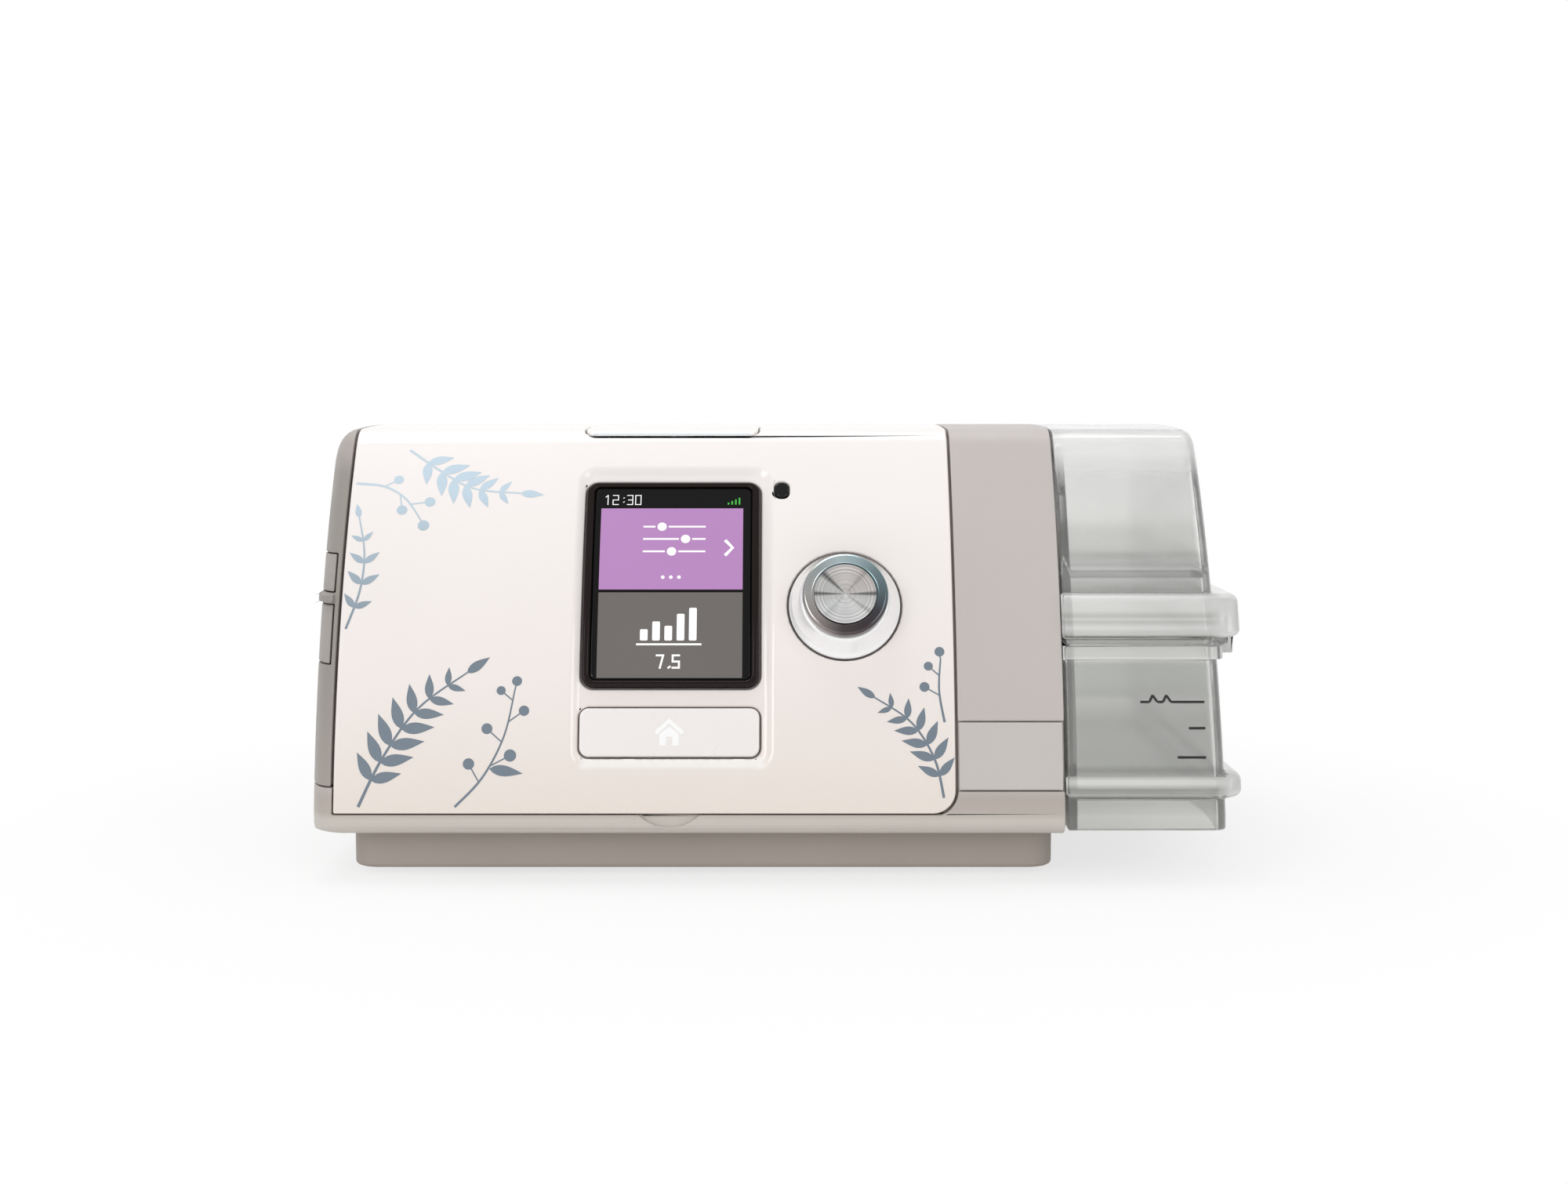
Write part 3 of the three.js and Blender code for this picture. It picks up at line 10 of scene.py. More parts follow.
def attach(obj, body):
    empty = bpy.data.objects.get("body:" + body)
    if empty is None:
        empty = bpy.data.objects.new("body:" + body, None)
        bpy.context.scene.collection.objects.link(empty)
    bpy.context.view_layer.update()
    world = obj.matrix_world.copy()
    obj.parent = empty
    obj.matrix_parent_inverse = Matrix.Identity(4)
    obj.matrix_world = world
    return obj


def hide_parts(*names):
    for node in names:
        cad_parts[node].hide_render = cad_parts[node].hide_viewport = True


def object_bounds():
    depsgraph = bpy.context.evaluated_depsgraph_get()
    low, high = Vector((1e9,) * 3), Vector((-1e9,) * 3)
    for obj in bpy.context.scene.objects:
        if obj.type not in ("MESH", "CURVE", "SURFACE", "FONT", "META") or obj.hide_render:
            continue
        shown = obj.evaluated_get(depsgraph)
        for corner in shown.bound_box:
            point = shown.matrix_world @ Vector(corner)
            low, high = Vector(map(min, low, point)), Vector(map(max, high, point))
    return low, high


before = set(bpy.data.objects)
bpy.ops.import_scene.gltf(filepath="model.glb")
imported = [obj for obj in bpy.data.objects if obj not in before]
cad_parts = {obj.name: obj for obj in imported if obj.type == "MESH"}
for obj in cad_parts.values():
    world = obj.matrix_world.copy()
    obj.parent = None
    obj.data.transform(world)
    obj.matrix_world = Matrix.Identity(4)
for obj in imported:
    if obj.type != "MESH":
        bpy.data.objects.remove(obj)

# Bedside CPAP machine: sizes are in millimetres here and become metres when a mesh is made.
cadBox = [list(corner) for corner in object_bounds()]
mm = 0.001
body = {
    "front": -75, "back": 66, "flankStart": -96.5, "flankOut": 6, "flankRound": 12, "flankDrop": 7,
    "right": 62.8, "bottom": 10.5, "seam": 15.2, "flankSeam": 21, "edgeRound": 3, "panelRadius": 177,
    "shoulderRadius": 9, "crownRadius": 812, "rearRadius": 20, "caseEdge": 0.32, "panelLow": 10,
    "panelHigh": 38.5, "shoulder": 88, "cavityLeft": -99.5, "wall": 2.2,
}
gap = 0.3
over = 3
farTop = 150


def say(words):
    print("stage:", words)


# Side profile of the body: tilt 0 looks to the front, 90 up and 180 to the back.
def moved(spot, amount, degrees):
    turn = math.radians(degrees)
    return (spot[0] - math.cos(turn) * amount, spot[1] + math.sin(turn) * amount)


def arc(centre, radius, start, end, steps):
    return [moved(centre, radius, start + (end - start) * i / steps) for i in range(steps + 1)]


panelCentre = moved((body["front"], body["seam"]), -body["panelRadius"], body["panelLow"])


def rawProfile(inset, back, low, fine=1.0):
    shoulder = moved(panelCentre, body["panelRadius"] - body["shoulderRadius"], body["panelHigh"])
    crown = moved(shoulder, body["shoulderRadius"] - body["crownRadius"], body["shoulder"])
    run = (crown[0] - back + body["rearRadius"]) / (body["crownRadius"] - body["rearRadius"])
    crownEnd = math.degrees(math.acos(run))
    rear = moved(crown, body["crownRadius"] - body["rearRadius"], crownEnd)
    steps = [max(2, round(n * fine)) for n in (36, 14, 8, 14)]
    points = [(body["front"] + inset, low)]
    points += arc(panelCentre, body["panelRadius"] - inset, body["panelLow"], body["panelHigh"], steps[0])
    points += arc(shoulder, body["shoulderRadius"] - inset, body["panelHigh"], body["shoulder"],
                  steps[1])[1:]
    points += arc(crown, body["crownRadius"] - inset, body["shoulder"], crownEnd, steps[2])[1:]
    points += arc(rear, body["rearRadius"] - inset, crownEnd, 180, steps[3])[1:]
    return points + [(back - inset, low)]


# The finer curve is eased down a hair so that its top meets the solids' own.
rawCrown = max(z for _, z in rawProfile(0, body["back"], body["bottom"]))
crownLevel = cadBox[1][2] / mm
crownFit = (crownLevel - body["bottom"]) / (rawCrown - body["bottom"])


def profile(inset, back, low, fine=1.0):
    return [(y, body["bottom"] + (z - body["bottom"]) * crownFit) for y,
            z in rawProfile(inset, back, low, fine)]


def panelDegrees(up):
    return body["panelLow"] + math.degrees(up / body["panelRadius"])


def panelSpot(up, out=0.0):
    return moved(panelCentre, body["panelRadius"] + out, panelDegrees(up))


def panelFrame(x, up, out=0.0):
    y, z = panelSpot(up, out)
    turn = Matrix.Rotation(math.radians(90 - panelDegrees(up)), 4, "X")
    return Matrix.Translation((x, y, z)) @ turn


@contextmanager
def opened(mesh):
    form = bmesh.new()
    form.from_mesh(mesh)
    yield form
    form.to_mesh(mesh)
    form.free()


def linked(name, data):
    thing = bpy.data.objects.new(name, data)
    bpy.context.scene.collection.objects.link(thing)
    return thing


def shadeSmooth(mesh):
    mesh.polygons.foreach_set("use_smooth", [True] * len(mesh.polygons))


# Meshes: made from points in millimetres.
def makeMesh(name, points, faces):
    mesh = bpy.data.meshes.new(name)
    mesh.from_pydata([tuple(c * mm for c in p) for p in points], [], faces)
    with opened(mesh) as form:
        bmesh.ops.remove_doubles(form, verts=form.verts, dist=1e-7)
        bmesh.ops.recalc_face_normals(form, faces=form.faces)
    return linked(name, mesh)


def loft(name, sections, closed=True):
    count = len(sections[0])
    points = [p for section in sections for p in section]
    faces = []
    for i in range(len(sections) - 1):
        for j in range(count):
            k = (j + 1) % count
            a, b = i * count, (i + 1) * count
            faces.append((a + j, a + k, b + k, b + j))
    if closed:
        faces.append(tuple(range(count))[::-1])
        faces.append(tuple(range((len(sections) - 1) * count, len(sections) * count)))
    return makeMesh(name, points, faces)


def sweepX(name, outline, x0, x1):
    return loft(name, [[(x, y, z) for y, z in outline] for x in (x0, x1)])


def sweepZ(name, outline, z0, z1):
    return loft(name, [[(x, y, z) for x, y in outline] for z in (z0, z1)])


def block(name, x0, x1, y0, y1, z0, z1):
    return sweepZ(name, [(x0, y0), (x1, y0), (x1, y1), (x0, y1)], z0, z1)


# Points of an arc in a plane, its turn counted from the first axis towards the second.
def arcAt(x, y, radius, start, turn=90, steps=8):
    turns = [math.radians(start + turn * i / steps) for i in range(steps + 1)]
    return [(x + radius * math.cos(t), y + radius * math.sin(t)) for t in turns]


# Steps of a rounded edge: shares of its radius inwards and along.
def quarterRound(steps):
    turns = [math.radians(90 * i / steps) for i in range(steps + 1)]
    return [(1 - math.sin(t), 1 - math.cos(t)) for t in turns]


def roundedOutline(wide, tall, corner, steps=8):
    points = []
    for index, (a, b) in enumerate([(-1, -1), (1, -1), (1, 1), (-1, 1)]):
        points += arcAt(a * (wide / 2 - corner), b * (tall / 2 - corner), corner, 180 + 90 * index, 90,
                        steps)
    return points


# The same outline about the middle of a piece that has sides, front and back.
def roundedPlan(piece, across, along, corner, steps=8):
    wide = piece["right"] - piece["left"] + 2 * across
    deep = piece["back"] - piece["front"] + 2 * along
    x, y = (piece["right"] + piece["left"]) / 2, (piece["back"] + piece["front"]) / 2
    return [(x + a, y + b) for a, b in roundedOutline(wide, deep, corner, steps)]


def turnedMesh(name, outline, sides=96):
    sections = []
    for i in range(sides):
        turn = 2 * math.pi * i / sides
        sections.append([(r * math.cos(turn), r * math.sin(turn), h) for r, h in outline])
    count = len(outline)
    points = [p for section in sections for p in section]
    faces = []
    for i in range(sides):
        a, b = i * count, ((i + 1) % sides) * count
        for j in range(count - 1):
            corners = [a + j, b + j, b + j + 1, a + j + 1]
            if outline[j][0] == 0:
                corners = [a, b + j + 1, a + j + 1] if j == 0 else corners
            if outline[j + 1][0] == 0:
                corners = [a + j, b + j, a + j + 1]
            faces.append(tuple(corners))
    return makeMesh(name, points, faces)


def placed(piece, matrix):
    scaled = matrix.copy()
    scaled.translation = matrix.translation * mm
    piece.data.transform(scaled)
    return piece


def dropped(piece):
    bpy.data.objects.remove(piece, do_unlink=True)


def applied(piece):
    graph = bpy.context.evaluated_depsgraph_get()
    mesh = bpy.data.meshes.new_from_object(piece.evaluated_get(graph))
    old = piece.data
    piece.modifiers.clear()
    piece.data = mesh
    bpy.data.meshes.remove(old)
    return piece


def combine(piece, tools, operation):
    for tool in tools:
        step = piece.modifiers.new("shape", "BOOLEAN")
        step.operation = operation
        step.solver = "EXACT"
        step.object = tool
        applied(piece)
        dropped(tool)
    return piece


def cut(piece, *tools):
    return combine(piece, tools, "DIFFERENCE")


def join(piece, *tools):
    return combine(piece, tools, "UNION")


def common(piece, *tools):
    return combine(piece, tools, "INTERSECT")


def limits(piece):
    corners = [v.co for v in piece.data.vertices]
    return [[pick(c[i] for c in corners) for i in range(3)] for pick in (min, max)]


# Faces of many corners, such as those round an opening, are split so that they fill rightly.
def plain(piece, widest):
    with opened(piece.data) as form:
        bmesh.ops.dissolve_degenerate(form, edges=form.edges, dist=1e-6)
        many = [face for face in form.faces if len(face.verts) > widest]
        bmesh.ops.triangulate(form, faces=many, quad_method="BEAUTY", ngon_method="BEAUTY")
    return piece


# Slivers that a join leaves are closed, and faces in one plane become one.
def tidied(piece, least=0.02):
    with opened(piece.data) as form:
        bmesh.ops.remove_doubles(form, verts=form.verts, dist=least * mm)
        bmesh.ops.dissolve_degenerate(form, edges=form.edges, dist=least * mm)
        bmesh.ops.dissolve_limit(form, angle_limit=math.radians(0.3), verts=form.verts, edges=form.edges)
    return piece


def soften(piece, width, segments=3, angle=32, widest=5, creases=()):
    least, most = limits(piece)
    plain(piece, widest)
    step = piece.modifiers.new("edge", "BEVEL")
    step.width = width * mm
    step.segments = segments
    step.limit_method = "ANGLE"
    step.angle_limit = math.radians(angle)
    step.use_clamp_overlap = False
    step.loop_slide = False
    step.miter_outer = "MITER_ARC"
    applied(piece)
    for vertex in piece.data.vertices:
        vertex.co = [min(max(c, low), high) for c, low, high in zip(vertex.co, least, most)]
    return smooth(piece, 38, creases)


def smooth(piece, angle=38, creases=()):
    mesh = piece.data
    shadeSmooth(mesh)
    mesh.set_sharp_from_angle(angle=math.radians(angle))
    for edge in mesh.edges if creases else []:
        heights = [mesh.vertices[i].co.z / mm for i in edge.vertices]
        if any(max(abs(height - level) for height in heights) < 0.02 for level in creases):
            edge.use_edge_sharp = True
    step = piece.modifiers.new("normals", "WEIGHTED_NORMAL")
    step.keep_sharp = True
    step.weight = 100
    return applied(piece)


def coat(piece, finish):
    piece.data.materials.clear()
    piece.data.materials.append(finishes[finish])


def dress(piece, finish, bodyName, *nodes):
    coat(piece, finish)
    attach(piece, bodyName)
    if nodes:
        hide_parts(*nodes)
    return piece


# Finishes: each has its own grain, tone variation and roughness variation.
class Network:
    def __init__(self, holder):
        holder.use_nodes = True
        self.nodes, self.links = holder.node_tree.nodes, holder.node_tree.links

    def put(self, value, socket):
        if isinstance(value, bpy.types.NodeSocket):
            self.links.new(value, socket)
        elif socket.type == "RGBA" and len(value) == 3:
            socket.default_value = (*value, 1)
        else:
            socket.default_value = value

    # Settings are the node's own, or else values or links for its sockets.
    def node(self, kind, *sources, **settings):
        made = self.nodes.new(kind)
        for key, value in settings.items():
            if hasattr(made, key):
                setattr(made, key, value)
            else:
                self.put(value, made.inputs[key.replace("_", " ")])
        for value, socket in zip(sources, made.inputs):
            self.put(value, socket)
        return made

    def calc(self, operation, *sources):
        return self.node("ShaderNodeMath", *sources, operation=operation).outputs["Value"]

    def blendInto(self, end, share, first, second):
        blend = self.node("ShaderNodeMixShader", share, first, second)
        self.links.new(blend.outputs["Shader"], self.nodes[end].inputs["Surface"])


class Shader(Network):
    def __init__(self, name, colour, roughness, metal=0.0):
        self.material = bpy.data.materials.new(name)
        super().__init__(self.material)
        self.surface = self.nodes["Principled BSDF"]
        self.set(Base_Color=colour, Roughness=roughness, Metallic=metal)
        self.place = self.nodes.new("ShaderNodeTexCoord").outputs["Object"]

    def set(self, **values):
        for key, value in values.items():
            self.put(value, self.surface.inputs[key.replace("_", " ")])
        return self

    def noise(self, scale, detail=2.0, stretch=None):
        source = self.place
        if stretch:
            source = self.node("ShaderNodeMapping", Scale=stretch, Vector=source).outputs["Vector"]
        return self.node("ShaderNodeTexNoise", Scale=scale, Detail=detail, Vector=source).outputs["Fac"]

    def spread(self, source, low, high):
        return self.between(source, 0.25, 0.75, low, high)

    def between(self, source, start, end, low=0.0, high=1.0):
        made = self.node("ShaderNodeMapRange", From_Min=start, From_Max=end, To_Min=low, To_Max=high,
                         Value=source)
        return made.outputs["Result"]

    def mix(self, share, first, second, blend="MIX"):
        made = self.node("ShaderNodeMix", data_type="RGBA", blend_type=blend, Factor=share)
        inputs, outputs = ([socket for socket in side if socket.type == "RGBA"]
                           for side in (made.inputs, made.outputs))
        self.put(first, inputs[0])
        self.put(second, inputs[1])
        return outputs[0]

    def axis(self, name):
        return self.node("ShaderNodeSeparateXYZ", self.place).outputs[name]

    def ramp(self, source, stops):
        made = self.node("ShaderNodeValToRGB")
        marks = made.color_ramp.elements
        first, last = stops[0][0], stops[-1][0]
        for i, (level, colour) in enumerate(stops):
            share = (level - first) / (last - first)
            mark = marks[i] if i < 2 else marks.new(share)
            mark.position, mark.color = share, (*linear(*colour), 1)
        self.put(self.between(source, first, last), made.inputs["Fac"])
        return made.outputs["Color"]

    # The base colour, with soft darker patches over it.
    def shaded(self, colour, depth=0.035):
        patches = self.mix(self.spread(self.noise(28, 3), 0, 1), (1 - depth,) * 3, (1.0, 1.0, 1.0))
        return self.set(Base_Color=self.mix(1.0, colour, patches, "MULTIPLY"))

    def tone(self, source, first, second):
        return self.set(Base_Color=self.mix(source, first, second))

    def rough(self, source, low, high):
        return self.set(Roughness=self.spread(source, low, high))

    def bump(self, source, strength, distance):
        made = self.node("ShaderNodeBump", Strength=strength, Distance=distance, Height=source)
        return self.set(Normal=made.outputs["Normal"])


def linear(red, green, blue):
    def one(level):
        share = level / 255
        return share / 12.92 if share <= 0.04045 else ((share + 0.055) / 1.055) ** 2.4
    return (one(red), one(green), one(blue))


def scaled(colour, share):
    return tuple(min(1.0, c * share) for c in colour)


def moulded(name, colour, roughness, grain=2600, depth=0.00002, spread=0.05, coat=0.0, gleam=0.5):
    made = Shader(name, colour, roughness).set(Specular_IOR_Level=gleam)
    made.tone(made.spread(made.noise(28, 3), 0, 1), scaled(colour, 0.975), scaled(colour, 1.02))
    made.rough(made.noise(160, 4), roughness - spread, roughness + spread)
    made.bump(made.noise(grain, 2), 0.35, depth)
    if coat:
        made.set(Coat_Weight=coat, Coat_Roughness=0.06)
    return made.material


def metal(name, colour, roughness, stretch, scale=900, spread=0.08):
    made = Shader(name, colour, roughness, 1.0)
    grain = made.noise(scale, 4, stretch)
    made.tone(made.spread(grain, 0, 1), scaled(colour, 0.9), scaled(colour, 1.05))
    made.rough(grain, max(0.02, roughness - spread), roughness + spread)
    made.bump(grain, 0.12, 0.00002)
    return made.material


# Tinted by height, with painted highlight and shade lines among the stops. Its colour runs out to near
# white by X where that is given, a painted highlight, and otherwise the plastic is milkier over the front
# of the crown, a painted bright band there, and clearest a little above the band.
def clearPlastic(name, stops, clear, roughness, depth=0.07, end=None):
    made = Shader(name, linear(*stops[-1][1]), roughness)
    made.set(Transmission_Weight=clear, IOR=1.4, Coat_Weight=0.5, Coat_Roughness=0.05)
    height = made.axis("Z")
    colour = made.ramp(height, stops)
    if end:
        # Painted highlight: the colour runs out to near white by X over the band's rounded right end.
        colour = made.mix(made.between(made.axis("X"), *end), colour, linear(250, 250, 248))
    else:
        # Painted highlight: the plastic is made milkier over the front of the crown, so that a bright band
        # shows there.
        crown = made.calc("MULTIPLY", made.between(height, 0.0865, 0.0925),
                          made.between(made.axis("Y"), -0.038, -0.026, 1, 0))
        share = made.calc("MULTIPLY", made.between(crown, 0, 1, 1, 0.42),
                          made.between(height, 0.066, 0.0715, clear, 0.88))
        made.set(Transmission_Weight=share)
    # Soft darker patches, deepest on the tub, where they stand for painted blotchy reflections.
    made.shaded(colour, depth)
    made.rough(made.noise(60, 3), roughness * 0.7, roughness * 1.4)
    made.bump(made.noise(70, 2), 0.06, 0.0003)
    return made.material


def foamFinish(name, colour, scale):
    made = Shader(name, colour, 0.95)
    cells = made.node("ShaderNodeTexVoronoi", Scale=scale, Vector=made.place).outputs["Distance"]
    made.tone(made.spread(cells, 0, 1), scaled(colour, 0.5), scaled(colour, 1.2))
    made.bump(cells, 0.8, 0.0006)
    return made.material


def glowing(name, colour, level):
    made = Shader(name, scaled(colour, 0.25), 0.3)
    grain = made.spread(made.noise(40, 2), 0, 1)
    made.set(Emission_Color=made.mix(grain, scaled(colour, 0.97), scaled(colour, 1.03)),
             Emission_Strength=level)
    return made.material


# The cover's white, darker towards the bottom and a little at its top edge by painted shade, with a painted
# highlight band along the recess's lower lip under the home button.
def makeWhiteGloss():
    made = Shader("whiteGloss", linear(246, 239, 236), 0.24).set(Coat_Weight=0.5, Coat_Roughness=0.06)
    # Painted shade by height: the white darkens towards the bottom and a little at the top edge.
    paintedHeightShade = [(0.012, (236, 226, 217)), (0.03, (241, 232, 226)), (0.05, (244, 237, 234)),
             (0.075, (247, 241, 238)), (0.0945, (248, 243, 241)), (0.098, (243, 239, 236))]
    # Painted highlight: a lighter band along the recess's lower lip under the home button, masked by height
    # and across.
    shades = [(0, 0, 0), (255, 255, 255), (255, 255, 255), (0, 0, 0)]
    lip = [made.ramp(made.axis(axis), list(zip(levels, shades))) for axis, levels in
           (("Z", (0.0245, 0.0253, 0.0268, 0.0276)), ("X", (-0.0435, -0.042, -0.0035, -0.002)))]
    made.shaded(made.mix(made.calc("MULTIPLY", *lip), made.ramp(made.axis("Z"), paintedHeightShade),
                         linear(254, 251, 248)), 0.02)
    made.rough(made.noise(90, 1), 0.23, 0.25)
    made.bump(made.noise(1400, 2), 0.2, 0.000005)
    return made.material


# Moulded plastics by name: colour, roughness and what differs from the usual.
plastics = {
    # The case's grey darkened by painted shade, as the flank faces away from the light.
    "flankGreyPaintedShade": ((168, 162, 157), 0.5, {}),
    "labelGrey": ((198, 193, 189), 0.38, {}),
    "plinthGrey": ((172, 162, 154), 0.58, {}),
    "blackGloss": ((30, 21, 20), 0.12, {"grain": 1200, "depth": 0.000004, "spread": 0.03, "gleam": 0.18}),
    "sensorBlack": ((14, 11, 12), 0.15, {"spread": 0.03, "gleam": 0.35}),
    "buttonWhite": ((243, 238, 235), 0.28, {"grain": 1400, "depth": 0.000004, "spread": 0.01, "coat": 0.3}),
    "softRubber": ((60, 58, 56), 0.85, {"grain": 1800, "depth": 0.00006}),
    "paleSeal": ((208, 211, 209), 0.6, {"grain": 1500, "depth": 0.00004}),
    "innerBlack": ((44, 44, 46), 0.55, {}),
    "innerWhite": ((216, 214, 209), 0.5, {}),
    "cardBlue": ((48, 82, 134), 0.45, {}),
    "boardGreen": ((30, 92, 58), 0.4, {"grain": 500, "depth": 0.00008, "coat": 0.3}),
    "markBlack": ((18, 18, 18), 0.5, {"grain": 900, "depth": 0.000004}),
    "clipGrey": ((96, 93, 90), 0.5, {}),
    "outletGrey": ((150, 146, 142), 0.45, {}),
    "buttonBlue": ((176, 200, 214), 0.3, {"grain": 900, "depth": 0.000003}),
    "screenBlack": ((14, 12, 13), 0.06, {"grain": 800, "depth": 0.000001, "spread": 0.02, "gleam": 0.22}),
    "glyphWhite": ((255, 255, 255), 0.3, {"grain": 900, "depth": 0.000002}),
}
finishes = {name: moulded(name, linear(*colour), roughness, **more)
            for name, (colour, roughness, more) in plastics.items()}


def add(*made):
    finishes.update({material.name: material for material in made})


add(makeWhiteGloss())
add(metal("plainSteel", linear(160, 160, 158), 0.32, (1, 1, 12)))


# Stops of colour by height, each given as millimetres, red, green and blue.
def heightStops(*rows):
    return [(round(level * mm, 6), tuple(colour)) for level, *colour in rows]


# The tub's colour by height: partly the tint of its thicker plastic at the bead, rim, gasket and band,
# partly painted highlight and shade lines along these ridges, and painted light that brightens it towards
# the crown.
tubTintAndPaintedLight = heightStops(
    (11, 214, 214, 210), (14.5, 220, 220, 216), (17, 206, 206, 202), (18.2, 205, 206, 203),
    (19.2, 238, 238, 236), (20.8, 226, 226, 223), (21.8, 252, 253, 251), (23, 229, 230, 227),
    (24.3, 198, 199, 196), (25.6, 226, 227, 224), (39.8, 229, 230, 227), (40.2, 226, 227, 224),
    (46.5, 230, 232, 229), (47.5, 253, 253, 251), (49, 235, 235, 233), (52, 226, 226, 224),
    (52.7, 220, 220, 218), (61.4, 246, 246, 245), (62.2, 214, 214, 212), (63.5, 235, 236, 233),
    (67.2, 236, 237, 235), (67.8, 214, 214, 212), (68.5, 233, 233, 231), (70.2, 235, 236, 233),
    (71.2, 252, 252, 250), (82, 254, 254, 253), (91.5, 255, 255, 254))
# The band's colour by height: painted highlight and shade lines along the bead, rim and band edges over a
# pale tint.
bandTintAndPaintedLight = heightStops(
    (18.2, 160, 161, 156), (19.2, 206, 207, 202), (20.5, 188, 189, 184), (21.6, 250, 250, 247),
    (22.3, 250, 250, 247), (23.2, 196, 197, 192), (24.3, 156, 158, 153), (47.8, 255, 255, 253),
    (48.7, 232, 232, 229), (50.8, 228, 228, 225), (52.6, 180, 181, 177), (53.6, 228, 228, 225),
    (54.8, 252, 252, 250), (56, 216, 217, 213), (56.6, 238, 238, 235), (57.3, 212, 213, 209),
    (58.5, 244, 244, 241), (60.4, 246, 246, 244), (61.2, 255, 255, 254), (62.1, 204, 205, 201))
# The tub's finish: its stops carry painted highlight and shade lines, and its darker patches are painted
# reflections.
add(clearPlastic("tubClear", tubTintAndPaintedLight, 0.8, 0.11, 0.09))
# The band's finish: milkier, with painted highlight and shade lines and a painted highlight over its right
# end.
add(clearPlastic("tubMilkAndPaintedLight", bandTintAndPaintedLight, 0.45, 0.16, 0.05, (0.0955, 0.0985)))
add(clearPlastic("sealClear", [(0.05, (218, 219, 215)), (0.053, (228, 229, 225))], 0.5, 0.3))
add(metal("heaterMetal", linear(196, 199, 201), 0.3, (14, 1, 1)))
add(foamFinish("filterFleece", linear(232, 234, 235), 2600))
add(foamFinish("intakeFoamGrey", linear(92, 96, 102), 1400))


# Hidden and small pieces keep their solids and take a finish.
plainFinishes = {
    "innerWhite": ["blower_lower", "blower_upper", "blower_duct", "outlet_elbow", "bay_liner"],
    "innerBlack": ["home_switch", "encoder_body", "card_socket", "adapter_socket", "impeller",
                   "flow_sensor", "power_inlet", "display_module"],
    "boardGreen": ["start_switch", "main_board"],
    "plainSteel": ["radio_module", "motor", "motor_shaft", "encoder_shaft", "hinge_pin_front",
                   "hinge_pin_back",
                   *[f"case_screw_{i}" for i in range(1, 5)]],
    "paleSeal": ["blower_mount", "port_seal_in", "port_seal_out"],
    "heaterMetal": ["heater_plate", "tub_plate"],
    "cardBlue": ["memory_card"],
    "filterFleece": ["air_filter"],
    "intakeFoamGrey": ["intake_foam"],
    "softRubber": [f"foot_{i}" for i in range(1, 5)],
}


def finishPlainNodes():
    for finish, names in plainFinishes.items():
        for name in names:
            coat(bpy.data.objects[name], finish)


# Case: swollen flank on the left, profile arcs along the top.
def flankSections(low, fine=9):
    points = profile(0, body["back"], low)
    middle = (body["front"] + body["back"]) / 2
    half = (body["back"] - body["front"]) / 2
    tall = crownLevel - low
    sections = []
    for i in range(fine + 1):
        turn = math.radians(90 * i / fine)
        drawn = 1 - math.cos(turn)
        x = body["flankStart"] - body["flankOut"] * math.sin(turn)
        narrow = 1 - body["flankRound"] * drawn / half
        lower = 1 - body["flankDrop"] * drawn / tall
        sections.append([(x, middle + (y - middle) * narrow, low + (z - low) * lower) for y, z in points])
    return sections


def planOutline(inset):
    left = body["flankStart"] - body["flankOut"] + inset
    front, back = body["front"] + inset, body["back"] - inset
    corner = body["flankRound"] / 2
    points = [(body["right"], front), (body["right"], back)]
    for y, start in ((back - corner, 90), (front + corner, 180)):
        points += arcAt(left + corner, y, corner, start)
    return points


def wholeBody(name="bodyWhole"):
    flank = flankSections(body["bottom"])
    far = [(body["right"], y, z) for _, y, z in flank[0]]
    shell = loft(name, [far] + flank)
    rounding = []
    for inwards, along in quarterRound(6):
        high = body["bottom"] + body["edgeRound"] * along
        rounding.append([(x, y, high) for x, y in planOutline(body["edgeRound"] * inwards)])
    rounding.append([(x, y, farTop) for x, y, _ in rounding[-1]])
    return common(plain(shell, 3), loft("bodyLow", rounding))


bodyMaster = wholeBody()
say("body form")


def bodyCopy(name, shift=0.0):
    copy = linked(name, bodyMaster.data.copy())
    copy.data.transform(Matrix.Translation((shift * mm, shift * mm, 0)))
    return copy


# A tool or piece that follows the curved front between two heights off its surface.
def panelPatch(name, x, up, wide, tall, corner, low, high):
    y0, y1 = up - tall / 2 - over, up + tall / 2 + over
    outer = arc(panelCentre, body["panelRadius"] + high, panelDegrees(y0), panelDegrees(y1), 24)
    inner = arc(panelCentre, body["panelRadius"] + low, panelDegrees(y1), panelDegrees(y0), 24)
    strip = sweepX(name, outer + inner, x - wide / 2 - over, x + wide / 2 + over)
    prism = placed(sweepZ("prism", roundedOutline(wide, tall, corner), -14, 12), panelFrame(x, up))
    return common(strip, prism)


def panelHole(x, up, wide, tall, corner):
    return placed(sweepZ("hole", roundedOutline(wide, tall, corner, 10), -14, 12), panelFrame(x, up))


# Flat shapes laid over the curved front: outlines of (x, up) points.
def split(outline, pitch):
    points = []
    for i, (x0, y0) in enumerate(outline):
        x1, y1 = outline[(i + 1) % len(outline)]
        count = max(1, math.ceil(math.hypot(x1 - x0, y1 - y0) / pitch))
        points += [(x0 + (x1 - x0) * k / count, y0 + (y1 - y0) * k / count) for k in range(count)]
    return points


